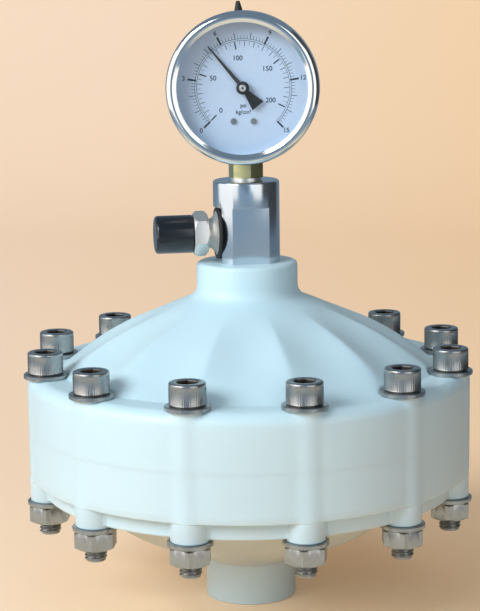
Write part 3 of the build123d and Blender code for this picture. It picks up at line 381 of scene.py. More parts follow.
def turning_tree():
    """Turns a half section about Z, with flats, ridges, threads, flutes, bosses and bolt seats."""
    w, take = new_tree(
        "turned_piece", Segments=64, Sides=6, Ridges=48, Flutes=BOLT_COUNT, Turn=0.0,
        Pitch=SCREW_PITCH, Bolt_circle=BOLT_CIRCLE, Boss_radius=0.0085, Seat_radius=0.0104,
        Seat_level=0.0,
    )
    half = take["Geometry"]
    size = w.node("GeometryNodeAttributeDomainSize", {"Geometry": half}, component="MESH")
    rows = size.outputs["Point Count"]
    columns = w.plus(take["Segments"], 1)
    grid = w.out("GeometryNodeMeshGrid", {"Vertices X": columns, "Vertices Y": rows})
    index = w.out("GeometryNodeInputIndex")
    row = w.math("MODULO", index, rows)
    column = w.math("FLOOR", w.over(w.plus(index, 0.5), rows))

    def sampled(value, kind):
        """Value at this row's point of the half section."""
        inputs = {"Geometry": half, "Value": value, "Index": row}
        return w.out("GeometryNodeSampleIndex", inputs, data_type=kind, domain="POINT")

    def trait(name):
        """What the half section says that its surface does here."""
        named = w.out("GeometryNodeInputNamedAttribute", {"Name": name}, data_type="FLOAT")
        return sampled(named, "FLOAT")

    place = w.parts(sampled(w.out("GeometryNodeInputPosition"), "FLOAT_VECTOR"))
    radius, level = place["X"], place["Z"]
    theta = w.times(column, w.over(math.tau, take["Segments"]))
    phi = w.minus(theta, take["Turn"])
    turns = w.over(phi, math.tau)

    # Flats, ridges and threads, cut into the turned radius
    half_side = w.over(math.pi, take["Sides"])
    side = w.math("WRAP", phi, half_side, w.times(half_side, -1))
    flat = trait("flat")
    apothem = w.over(flat, w.math("COSINE", side))
    round_here = w.math("LESS_THAN", flat, 1e-6)
    radius = w.math("MINIMUM", radius, w.plus(apothem, round_here))
    wave = w.math("PINGPONG", w.times(turns, take["Ridges"]), 0.5)
    radius = w.minus(radius, w.times(trait("ridge"), w.times(wave, 2)))
    climb = w.minus(w.over(level, take["Pitch"]), turns)
    cut = w.times(w.math("PINGPONG", climb, 0.5), 2)
    radius = w.minus(radius, w.times(trait("thread"), cut))

    # Bosses round the bolts
    half_step = w.over(math.pi, take["Flutes"])
    swing = w.math("WRAP", phi, half_step, w.times(half_step, -1))
    circle = take["Bolt circle"]
    along = w.times(circle, w.math("COSINE", swing))
    across = w.times(circle, w.math("SINE", swing))
    room = w.minus(w.math("POWER", take["Boss radius"], 2), w.times(across, across))
    boss_edge = w.plus(along, w.math("SQRT", w.math("MAXIMUM", room, 0)))
    radius = w.math("SMOOTH_MAX", radius, w.times(boss_edge, trait("boss")), BOSS_BLEND)

    # Flutes between the ridges, and the flat seats round the bolts
    dip = w.math("SINE", w.times(phi, w.over(take["Flutes"], 2)))
    rounded = w.math("SQRT", w.plus(w.times(dip, dip), CREST_ROUNDING**2))
    scallop = w.minus(rounded, CREST_ROUNDING)
    level = w.minus(level, w.times(trait("hollow"), scallop))
    from_bolt = w.distance(w.minus(radius, along), across)
    beyond = w.math("MAXIMUM", w.minus(from_bolt, take["Seat radius"]), 0)
    ceiling = w.plus(take["Seat level"], w.times(beyond, SEAT_WALL_SLOPE))
    unseated = w.minus(1, trait("seat"))
    level = w.math("MINIMUM", level, w.plus(ceiling, unseated))

    spot = w.vector(
        w.times(radius, w.math("COSINE", theta)), w.times(radius, w.math("SINE", theta)), level
    )
    # The section's recess share, painted shade for the fastener steel, goes onto the surface.
    shade_marks_and_roughness = w.node("GeometryNodeStoreNamedAttribute", {0: grid, "Name": "recess"})
    w.feed(trait("recess"), next(s for s in shade_marks_and_roughness.inputs if s.name == "Value" and s.enabled))
    moved = w.out("GeometryNodeSetPosition", {0: shade_marks_and_roughness.outputs[0], "Position": spot})
    closed = w.out("GeometryNodeMergeByDistance", {0: moved, "Distance": SAME_PLACE})
    return close_tree(w, w.out("GeometryNodeSetShadeSmooth", {0: closed}), take["Material"])


def ring_tree():
    """Stands copies of one blank on a circle about Z, each turned a little by chance."""
    w, take = new_tree(
        "ring_of_copies", Blank="NodeSocketObject", Copies=BOLT_COUNT, Circle=BOLT_CIRCLE,
        First_turn=0.0, Loose_turn=0.0, Seed=0,
    )
    circle = w.out(
        "GeometryNodeMeshCircle", {"Vertices": take["Copies"], "Radius": take["Circle"]}
    )
    lean = w.vector(z=take["First turn"])
    placed = w.out("GeometryNodeTransform", {"Geometry": circle, "Rotation": lean})
    blank = w.node("GeometryNodeObjectInfo", {"Object": take["Blank"]})
    chance = w.node("FunctionNodeRandomValue", {"Seed": take["Seed"]}, data_type="FLOAT")
    number = next(s for s in chance.outputs if s.type == "VALUE" and s.enabled)
    spread = w.times(w.minus(number, 0.5), w.times(take["Loose turn"], 2))
    copies = stood(w, placed, blank.outputs["Geometry"], spread)
    return close_tree(w, copies, take["Material"])


def tick_tree():
    """Lays flat strokes on an arc of a dial that faces +Z."""
    w, take = new_tree(
        "dial_strokes", Steps=10, Radius=0.02, Length=0.002, Width=0.0003, First_turn=0.0,
        Sweep=1.0, Level=0.0,
    )
    line = w.out("GeometryNodeMeshLine", {"Count": w.plus(take["Steps"], 1)})
    share = w.over(w.out("GeometryNodeInputIndex"), take["Steps"])
    turn = w.plus(take["First turn"], w.times(share, take["Sweep"]))
    out = w.times(take["Radius"], w.math("SINE", turn))
    up = w.times(take["Radius"], w.math("COSINE", turn))
    spot = w.vector(out, up, take["Level"])
    laid = w.out("GeometryNodeSetPosition", {0: line, "Position": spot})
    size = {"Size X": take["Width"], "Size Y": take["Length"]}
    stroke = w.out("GeometryNodeMeshGrid", {**size, "Vertices X": 2, "Vertices Y": 2})
    copies = stood(w, laid, stroke, w.times(turn, -1))
    return close_tree(w, copies, take["Material"])


def tree_named(name):
    """The tree of that name, built the first time it is asked for."""
    builders = {
        "turned_piece": turning_tree,
        "ring_of_copies": ring_tree,
        "dial_strokes": tick_tree,
    }
    return bpy.data.node_groups.get(name) or builders[name]()


def run_tree(start, tree_name, **inputs):
    """Runs a tree on an object and leaves its result there as a plain mesh."""
    tree = tree_named(tree_name)
    modifier = start.modifiers.new("shape", "NODES")
    modifier.node_group = tree
    by_name = {s.name: s.identifier for s in tree.interface.items_tree if s.in_out == "INPUT"}
    for name, value in inputs.items():
        modifier[by_name[name.replace("_", " ")]] = value
    bpy.context.view_layer.update()
    depsgraph = bpy.context.evaluated_depsgraph_get()
    mesh = bpy.data.meshes.new_from_object(start.evaluated_get(depsgraph), depsgraph=depsgraph)
    start.modifiers.clear()
    start.data = mesh


# Shapes


# What the surface can do at a point of a half section, in millimetres and as shares
LENGTHS = ("flat", "ridge", "thread", "hollow")
# Of the shares, recess is painted shade: darkest in screw sockets, fainter on threads.
SHARES = ("boss", "seat", "recess")


def point(radius, level, **traits):
    """Point of a half section in millimetres, with what the surface does there."""
    return radius, level, traits


def section(*parts, **traits):
    """Half section of radius and level pairs, and of stretches of points made before."""
    rows = []
    for part in parts:
        rows += part if isinstance(part, list) else [point(*part, **traits)]
    return rows


def arc(centre_radius, centre_level, radius, start, end, steps, **traits):
    """Points of an arc of a half section, with angles in degrees from outwards towards up."""
    rows = []
    for i in range(steps + 1):
        angle = math.radians(start + (end - start) * i / steps)
        out, up = radius * math.cos(angle), radius * math.sin(angle)
        rows.append(point(centre_radius + out, centre_level + up, **traits))
    return rows


def new_piece(name, data):
    """Object of that mesh, curve, lamp or camera in the scene."""
    piece = bpy.data.objects.new(name, data)
    bpy.context.scene.collection.objects.link(piece)
    return piece


def new_start(name):
    """Object of one point, for a tree to fill."""
    mesh = bpy.data.meshes.new(name)
    mesh.from_pydata([(0, 0, 0)], [], [])
    return new_piece(name, mesh)


def turned(name, half, material, place=None, **inputs):
    """A piece turned from a half section, with its faces outwards and its place in its mesh."""
    mesh = bpy.data.meshes.new(name)
    mesh.from_pydata([(r * MM, 0, z * MM) for r, z, _ in half], [], [])
    for trait in (*LENGTHS, *SHARES):
        scale = MM if trait in LENGTHS else 1
        attribute = mesh.attributes.new(trait, "FLOAT", "POINT")
        for i, (_, _, traits) in enumerate(half):
            attribute.data[i].value = traits.get(trait, 0) * scale
    piece = new_piece(name, mesh)
    run_tree(piece, "turned_piece", Material=material, **inputs)
    if place is not None:
        piece.data.transform(place)
    return tidied(piece)


def tidied(piece, crease=32):
    """Faces outwards, smooth faces, and creases where they meet at more than this angle."""
    shape = bmesh.new()
    shape.from_mesh(piece.data)
    bmesh.ops.recalc_face_normals(shape, faces=shape.faces)
    shape.to_mesh(piece.data)
    shape.free()
    piece.data.shade_smooth()
    piece.data.set_sharp_from_angle(angle=math.radians(crease))
    return piece


def ring_of(name, blank, material, **inputs):
    """Copies of a blank on the bolt circle, as one mesh."""
    piece = new_start(name)
    run_tree(
        piece, "ring_of_copies", Blank=blank, Material=material, First_turn=BOLT_TURN, **inputs
    )
    bpy.data.objects.remove(blank)
    return tidied(piece)


def dressed_copy(node, name, material, edge):
    """Copy of a CAD node with its faces joined, its edges eased and its curves smooth."""
    crease = 30
    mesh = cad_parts[node].data.copy()
    shape = bmesh.new()
    shape.from_mesh(mesh)
    bmesh.ops.remove_doubles(shape, verts=shape.verts, dist=SAME_PLACE)
    bmesh.ops.dissolve_limit(
        shape, angle_limit=NEARLY_FLAT, verts=shape.verts, edges=shape.edges
    )
    sharp = [
        e for e in shape.edges
        if len(e.link_faces) == 2 and e.calc_face_angle(0) > math.radians(crease)
    ]
    bmesh.ops.bevel(
        shape, geom=sharp, offset=edge, offset_type="OFFSET", segments=2, profile=0.6,
        affect="EDGES", clamp_overlap=True,
    )
    shape.to_mesh(mesh)
    shape.free()
    mesh.materials.clear()
    mesh.materials.append(material)
    return tidied(new_piece(name, mesh), crease)


def settle(piece, body, *nodes, slot):
    """Rides the piece on its body in place of these nodes. Its slot argument is not used."""
    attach(piece, body)
    if nodes:
        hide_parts(*nodes)


# Finishes


class Finish(Wiring):
    """New material with its wiring, its shader's inputs and its object coordinates."""

    def __init__(self, name, **values):
        self.material = bpy.data.materials.new(name)
        self.material.use_nodes = True
        super().__init__(self.material.node_tree)
        self.shader = self.tree.nodes["Principled BSDF"]
        self.inputs = self.shader.inputs
        self.coordinates = self.node("ShaderNodeTexCoord").outputs["Object"]
        for title, value in values.items():
            self.inputs[title.replace("_", " ")].default_value = value

    def ramp(self, value, start, end, low=0.0, high=1.0):
        """Number that runs from low to high while a value runs from start to end."""
        ends = {"From Min": start, "From Max": end, "To Min": low, "To Max": high}
        return self.out("ShaderNodeMapRange", {"Value": value, **ends})

    def noise(self, scale, detail=3.0, roughness=0.5, vector=None):
        """Uneven number from 0 to 1 that varies so many times over a metre."""
        grain = {"Scale": scale, "Detail": detail, "Roughness": roughness}
        return self.out("ShaderNodeTexNoise", {"Vector": vector or self.coordinates, **grain})

    def around_axis(self, place=None):
        """Distance from a piece's axis and place along it, as a vector for turning marks."""
        coordinates = self.coordinates
        if place is not None:
            home = place.inverted()
            turned_home = {"Rotation": home.to_euler(), "Location": home.translation}
            coordinates = self.out("ShaderNodeMapping", {0: coordinates, **turned_home})
        parts = self.parts(coordinates)
        return self.vector(self.distance(parts["X"], parts["Y"]), parts["Z"])

    def shaded(self, factor, colour, darker, lighter):
        """Colour that varies about itself with a factor."""
        bounds = ([c * darker for c in colour], [min(1, c * lighter) for c in colour])
        return self.mixed(factor, *bounds)

    def colour(self, *choice):
        """Gives the shader a colour that varies about itself with a factor."""
        self.feed(self.shaded(*choice), self.inputs["Base Color"])

    def roughness(self, factor, low, high):
        """Gives the shader a roughness that runs from low to high with a factor."""
        self.feed(self.ramp(factor, 0.0, 1.0, low, high), self.inputs["Roughness"])

    def bump(self, height, strength, distance):
        """Gives the shader a bump from a height."""
        inputs = {"Height": height, "Strength": strength, "Distance": distance}
        self.feed(self.out("ShaderNodeBump", inputs), self.inputs["Normal"])
        return self.material


def moulded_plastic(colour, roughness):
    """Milky plastic with faint flow clouds, tool rings and a fine skin."""
    w = Finish("moulded_plastic", Subsurface_Weight=0.25, Subsurface_Scale=0.0016, IOR=1.49)
    w.inputs["Subsurface Radius"].default_value = (0.9, 1.0, 1.1)
    clouds = w.noise(14)
    skin = w.noise(900, 2)
    rings = w.noise(700, 2, vector=w.around_axis())
    w.colour(clouds, colour, 0.955, 1.03)
    w.roughness(skin, roughness - 0.07, roughness + 0.09)
    return w.bump(w.plus(w.times(skin, 0.5), rings), 0.12, 0.0002)


def turned_metal(name, colour, roughness, place=None, marks=1600, strength=0.25):
    """Metal from a lathe: fine rings about its axis, a few brighter than the rest."""
    w = Finish(name, Metallic=1.0)
    rings = w.noise(marks, 4, 0.7, w.around_axis(place))
    stains = w.noise(60)
    w.colour(stains, colour, 0.88, 1.06)
    w.roughness(rings, roughness - 0.08, roughness + 0.12)
    return w.bump(rings, strength, 0.00006)


def bright_fastener(colour):
    """Stainless steel of small fasteners, scuffed, a little mottled and with painted shade in
    sockets and threads.
    """
    w = Finish("bright_fastener", Metallic=1.0)
    mottle = w.noise(260, 4, 0.6)
    scuffs = w.noise(2600, 2)
    recess = w.node("ShaderNodeAttribute", attribute_name="recess").outputs["Fac"]
    steel_before_shade = w.shaded(mottle, colour, 0.72, 1.12)
    # Painted shade: the steel turns near black where the section marks a socket or a thread.
    w.feed(w.mixed(recess, steel_before_shade, (0.03, 0.025, 0.02)), w.inputs["Base Color"])
    shade_marks_and_roughness = w.ramp(mottle, 0.0, 1.0, 0.2, 0.4)
    w.feed(w.plus(shade_marks_and_roughness, w.times(recess, 0.3)), w.inputs["Roughness"])
    return w.bump(scuffs, 0.2, 0.0001)


def milled_steel(colour):
    """Block steel: fine upright drawing marks with a low cloudiness."""
    w = Finish("milled_steel", Metallic=1.0)
    stretched = w.out("ShaderNodeMapping", {0: w.coordinates, "Scale": (1, 1, 0.03)})
    grain = w.noise(2600, 4, 0.65, stretched)
    clouds = w.noise(90)
    w.colour(clouds, colour, 0.9, 1.05)
    w.roughness(grain, 0.13, 0.26)
    return w.bump(grain, 0.22, 0.00005)


def polished_steel(colour):
    """Polished ring: nearly a mirror, with faint polishing lines round it."""
    w = Finish("polished_steel", Metallic=1.0)
    lines = w.noise(1400, 3, 0.6, w.around_axis(GAUGE_PLACE))
    haze = w.noise(45, 2)
    w.colour(haze, colour, 0.95, 1.04)
    w.roughness(lines, 0.07, 0.17)
    return w.bump(lines, 0.08, 0.00004)


def dark_rubber():
    """Matt black rubber with a fine grain."""
    w = Finish("dark_rubber")
    grain = w.noise(1800)
    w.colour(grain, (0.018, 0.018, 0.02), 0.7, 1.3)
    w.roughness(grain, 0.55, 0.75)
    return w.bump(grain, 0.3, 0.0001)


def glossy_plastic(colour):
    """Glossy black plastic with a soft orange-peel skin."""
    w = Finish("glossy_plastic", Coat_Weight=0.3, Coat_Roughness=0.08)
    peel = w.noise(420, 2)
    dust = w.noise(130, 4)
    w.colour(dust, colour, 0.8, 1.5)
    w.roughness(dust, 0.12, 0.26)
    return w.bump(peel, 0.12, 0.0002)


def clear_glass():
    """Flat window glass with the faintest unevenness, which lets the lamps light the dial."""
    w = Finish("clear_glass", Transmission_Weight=1.0, IOR=1.45)
    ripple = w.noise(12, 1)
    w.colour(ripple, (0.97, 0.985, 0.99), 0.99, 1.0)
    w.roughness(ripple, 0.0, 0.02)
    rays = w.node("ShaderNodeLightPath").outputs
    unseen = w.math("MAXIMUM", rays["Is Shadow Ray"], rays["Is Diffuse Ray"])
    clear = w.out("ShaderNodeBsdfTransparent")
    mix = w.out("ShaderNodeMixShader", {0: unseen, 1: w.shader.outputs[0], 2: clear})
    w.feed(mix, w.tree.nodes["Material Output"].inputs["Surface"])
    return w.material


def enamel(name, colour, roughness, grain_scale=500, spread=0.04):
    """Thin paint over metal, with a faint tooth."""
    w = Finish(name)
    tooth = w.noise(grain_scale)
    w.colour(tooth, colour, 1 - spread, 1 + spread)
    w.roughness(tooth, roughness - 0.05, roughness + 0.07)
    return w.bump(tooth, 0.08, 0.00005)


def finish(name):
    """The material of that name, made the first time it is asked for."""
    found = bpy.data.materials.get(name)
    if found:
        return found
    scene = bpy.context.scene
    housing, metals, dial = scene.dampener_housing, scene.dampener_metals, scene.dampener_dial
    makers = {
        "moulded_plastic": lambda: moulded_plastic(housing.colour, housing.roughness),
        "bright_fastener": lambda: bright_fastener(scene.dampener_bolts.colour),
        "milled_steel": lambda: milled_steel(metals.block),
        "valve_steel": lambda: turned_metal(name, (0.66, 0.66, 0.66), 0.26, VALVE_PLACE),
        "case_steel": lambda: turned_metal(name, (0.60, 0.60, 0.60), 0.34, GAUGE_PLACE, 900, 0.15),
        "turned_brass": lambda: turned_metal(name, metals.brass, 0.30),
        "movement_brass": lambda: turned_metal(name, (0.72, 0.55, 0.26), 0.32, GAUGE_PLACE),
        "spring_bronze": lambda: turned_metal(name, (0.62, 0.36, 0.20), 0.36, GAUGE_PLACE, 700),
        "seal_metal": lambda: turned_metal(name, (0.72, 0.72, 0.70), 0.4),
        "polished_steel": lambda: polished_steel(metals.bezel),
        "dark_rubber": dark_rubber,
        "glossy_plastic": lambda: glossy_plastic(metals.cap),
        "clear_glass": clear_glass,
        "dial_enamel": lambda: enamel(name, dial.face, 0.38),
        "dial_ink": lambda: enamel(name, dial.ink, 0.5, 1500, 0.2),
        "pointer_black": lambda: enamel(name, (0.012, 0.014, 0.02), 0.32, 900, 0.2),
        "button_plastic": lambda: enamel(name, (0.74, 0.74, 0.70), 0.45, 300),
    }
    return makers[name]()


# Housing sections, in millimetres


def crest(radius):
    """Height of a dome's ridges over its base."""
    if radius <= KNEE:
        return 34 - 0.4209 * max(0, radius - 23.25)
    run = radius - KNEE
    return 21.9 - 0.4209 * run - 0.005853 * run * run


def dome_rows(base, root, depth):
    """Rows of a dome from its base inwards to its root, with its flutes and bolt seats."""
    rows = []
    radius = 96.0
    while radius > root:
        if radius >= DOME_FOOT:
            rows.append(point(radius, base, seat=1))
        else:
            share = max(0, radius - FLUTE_END) / (DOME_FOOT - FLUTE_END)
            hollow = depth * math.sin(math.pi * share**1.45)
            seat = 1 if radius > SEAT_END else 0
            rows.append(point(radius, base + crest(radius), hollow=hollow, seat=seat))
        radius -= 0.6 if radius > 80 else 1.4
    return rows


def upper_section(depth):
    """Half section of the gas side, from the bead groove out, over the dome and down inside."""
    neck = [(r, FLANGE + crest(r) + lift) for r, lift in ((26.2, 0.1), (25.2, 0.45), (24.2, 1.2))]
    return section(
        (81, PARTING), section((102.5, PARTING), (102.5, 94), boss=WALL_BOSS),
        arc(96.5, 104, 6, 0, 90, 10, boss=WALL_BOSS), dome_rows(FLANGE, 27, depth),
        *neck, (23.55, 146), (23.3, 147.6), (23.25, 149), arc(21.25, 157, 2, 0, 90, 6),
        (9.6, 159), (9.6, 147), (6, 147), (6, 133), (14, 133), (32, 128.8), (48.7, 122.6),
        (59, 114), (66, 105), (68, 100), (68, 85.7), (71, 85.7), (71, 88), (81, 88), (81, PARTING),
    )


def lower_section(depth):
    """The liquid side in the same order, upside down."""
    foot = section(
        (102.5, -62.8), (102.3, -62.3), (101.6, -62), (96.8, -62), (96.5, -61.7), (96.5, -58),
        (96.5, -54.6), boss=1,
    )
    return section(
        (81, -PARTING), section((102.5, -PARTING), (102.5, -66), boss=WALL_BOSS), foot,
        (96.1, -UNDER_FLANGE), dome_rows(-UNDER_FLANGE, 24.5, depth)[1:],
        (23, -20), (22, -19.7), (21.3, -19), (21, -18), arc(20.4, -0.6, 0.6, 0, 90, 3),
        (17.6, 0), (17.6, -18), (12, -18), (12, -31), (14, -31), (32, -35.6), (48.7, -43.5),
        (59, -53.6), (66, -62.6), (68, -68), (68, -82.3), (71, -82.3), (71, -80), (81, -80),
        (81, -PARTING),
    )


def thread_rows(radius, low, high, depth, step):
    """Rows close enough together for a helical thread, each with a quarter share of painted shade.
    """
    count = max(2, round((high - low) / step))
    levels = [low + (high - low) * i / count for i in range(count + 1)]
    return section(*((radius, level) for level in levels), thread=depth, recess=0.25)


# Operators


class BuildUpperHousing(bpy.types.Operator):
    """Builds the gas side of the housing with its ridged dome and neck."""

    bl_idname = "dampener.upper_housing"
    bl_label = "Upper housing"

    def execute(self, context):
        looks = context.scene.dampener_housing
        piece = turned(
            "upper_half", upper_section(looks.flute_depth / MM), finish("moulded_plastic"),
            Segments=looks.segments, Turn=BOLT_TURN, Seat_level=FLANGE * MM,
        )
        settle(piece, "housing", "upper_housing", slot="housing")
        return {"FINISHED"}


class BuildLowerHousing(bpy.types.Operator):
    """Builds the liquid side of the housing, its bolt bosses and its inlet thread."""

    bl_idname = "dampener.lower_housing"
    bl_label = "Lower housing"

    def execute(self, context):
        looks = context.scene.dampener_housing
        plastic = finish("moulded_plastic")
        upside_down = Matrix.Scale(-1, 4, (0, 0, 1))
        piece = turned(
            "lower_half", lower_section(looks.flute_depth / MM), plastic, upside_down,
            Segments=looks.segments, Turn=BOLT_TURN, Seat_level=(0.2 - UNDER_FLANGE) * MM,
        )
        settle(piece, "housing", "lower_housing", slot="housing")
        end = section((0, 60), (8.5, 60), arc(7.9, 53.6, 0.6, 0, -90, 3), (0, 53))
        blank = turned("boss_blank", end, plastic, Segments=48)
        settle(ring_of("boss_ends", blank, plastic), "housing", slot="housing")
        wall = section(
            (17.6, 0), (16.8, 0), (15.3, 1.5), thread_rows(15.15, 1.7, 17.6, -1.1, 0.4),
            (15.15, 18), (17.6, 18), (17.6, 0),
        )
        thread = turned("inlet_thread", wall, plastic, Segments=96, Pitch=2.309 * MM)
        settle(thread, "housing", slot="housing")
        return {"FINISHED"}


class BuildBolts(bpy.types.Operator):
    """Builds the socket screws, their washers and their nuts round the flange."""

    bl_idname = "dampener.bolts"
    bl_label = "Bolts"

    def ring(self, name, half, nodes=(), segments=72, **inputs):
        """One kind of fastener part on every place of the bolt circle."""
        looks = bpy.context.scene.dampener_bolts
        steel = finish("bright_fastener")
        blank = turned(name + "_blank", half, steel, Segments=segments, **inputs)
        piece = ring_of(
            name, blank, steel, Circle=looks.circle, Loose_turn=looks.loose_turn, Seed=looks.seed
        )
        settle(piece, "housing", *nodes, slot="fastener_steel")

    def execute(self, context):
        looks = context.scene.dampener_bolts
        knurls = section((8, 113.1), (8, 119.9), ridge=looks.knurl_depth / MM)
        # The socket's points carry painted shade, full on its walls and floor and less at its
        # mouth.
        socket = [
            point(4.85, 121.7, flat=4.35, recess=0.6), point(4.7, 121.2, flat=4.05, recess=1),
            point(4.62, 116.5, flat=4, recess=1), point(0, 115.6, recess=1),
        ]
        head = section(
            (0, 110), (5, 110), (5, 112), (7.5, 112), (7.9, 112.4), (8, 112.8), knurls,
            (8, 120.3), arc(7.1, 121.1, 0.9, 0, 90, 5), (5.3, 122), socket,
        )
        self.ring("screw_heads", head, ["socket_screws"], 144, Ridges=looks.knurls)
        shank = section(
            (0, 37), (3.7, 37), (4.3, 37.4), thread_rows(5, 38.1, 44.5, 0.85, 0.25),
            (5, 45), (5, 111), (0, 111),
        )
        self.ring("screw_shanks", shank, (), 40, Pitch=looks.thread_pitch)
        washers = (("head_washers", "upper_washers", 110), ("nut_washers", "lower_washers", 51))
        for name, node, low in washers:
            washer = section(
                (5.3, low + 0.1), (5.4, low), (9.7, low), (10, low + 0.3), (10, low + 1.7),
                (9.7, low + 2), (5.5, low + 2), (5.3, low + 1.9), (5.3, low + 0.1),
            )
            self.ring(name, washer, [node], 64)
        nut = section(
            (5, 50.5), (5.4, 51), (8.3, 51), section((9.9, 50.2), (9.9, 43.8), flat=8.5),
            (8.3, 43), (5.5, 43), (5, 43.5), (5, 50.5),
        )
        self.ring("clamp_nuts", nut, ["hex_nuts"])
        return {"FINISHED"}


class BuildBlock(bpy.types.Operator):
    """Dresses the gauge block."""

    bl_idname = "dampener.block"
    bl_label = "Gauge block"

    def execute(self, context):
        block = dressed_copy("gauge_block", "steel_block", finish("milled_steel"), 0.00025)
        settle(block, "housing", "gauge_block", slot="block_steel")
        return {"FINISHED"}


class BuildValve(bpy.types.Operator):
    """Builds the charging valve with its gasket, hexagon and cap."""

    bl_idname = "dampener.valve"
    bl_label = "Charging valve"

    def execute(self, context):
        body = dressed_copy("valve_body", "valve_fitting", finish("valve_steel"), 0.0002)
        settle(body, "housing", "valve_body", slot="valve_steel")
        ring = section(
            (4.9, 12.7), (11.7, 12.7), arc(11.4, 13.45, 0.6, -60, 60, 6),
            (11.7, 14.2), (4.9, 14.2), (4.9, 12.7),
        )
        gasket = turned("valve_washer", ring, finish("dark_rubber"), VALVE_PLACE, Segments=96)
        settle(gasket, "housing", "valve_gasket", slot="rubber")
        end = 42.5
        cap = section(
            (4.25, 25.3), (8.3, 25.3), (8.7, 25.7), (8.7, 27.2), (8.7, end - 1.5),
            arc(7.2, end - 1.5, 1.5, 0, 90, 8), (3, end), (0, end), (0, end - 1.6),
            (4.15, end - 1.6), (4.15, 26), (4.25, 25.3),
        )
        cover = turned("valve_cover", cap, finish("glossy_plastic"), VALVE_PLACE, Segments=96)
        settle(cover, "valve_cap", "valve_cap", slot="cap_plastic")
        return {"FINISHED"}


class BuildGaugeCase(bpy.types.Operator):
    """Builds the gauge's case, bezel, window, stem and filler plug."""

    bl_idname = "dampener.gauge_case"
    bl_label = "Gauge case"

    def execute(self, context):
        stem = dressed_copy("gauge_socket", "brass_stem", finish("turned_brass"), 0.0002)
        settle(stem, "housing", "gauge_socket", slot="brass")
        shell = section(
            (0, -12), (20.5, -12), (21.2, -12), arc(30.3, -10.8, 1.2, -90, 0, 6),
            (31.5, 12.1), (33.2, 12.1), (33.2, 13), (30.7, 13), (30.7, -11.2), (0, -11.2),
        )
        ring = section(
            (31.6, 7.8), (33.3, 7.8), arc(33.4, 8.9, 1.1, -80, 0, 4), (34.5, 14.6),
            arc(31.7, 15.2, 2.8, 0, 90, 12), (31.2, 17.95), (30.8, 17.75), (29.5, 17.15),
            (29.5, 16.9), (33.3, 16.9), (33.3, 12), (31.6, 12), (31.6, 7.8),
        )
        pane = section(
            (0, 14.5), (32.4, 14.5), (32.8, 14.8), (32.8, 16.6), (32.5, 16.9), (0, 16.9)
        )
        pieces = (
            ("case_shell", shell, "case_steel", 128, "gauge_case", "case_steel"),
            ("bezel_ring", ring, "polished_steel", 180, "gauge_bezel", "bezel_steel"),
            ("window_pane", pane, "clear_glass", 128, "gauge_window", "glass"),
        )
        for name, half, look, segments, node, slot in pieces:
            piece = turned(name, half, finish(look), GAUGE_PLACE, Segments=segments)
            settle(piece, "housing", node, slot=slot)
        plug = section(
            (0, 28.7), (2.1, 28.7), (2.1, 31.5), (3.6, 31.5), (3.6, 32.6), (3.3, 32.9),
            (2.1, 32.9), (1.9, 34), (0.8, 38), (0.4, 38.45), (0, 38.5),
        )
        top = turned("rubber_plug", plug, finish("dark_rubber"), PLUG_PLACE, Segments=40)
        settle(top, "housing", "filler_plug", slot="rubber")
        return {"FINISHED"}


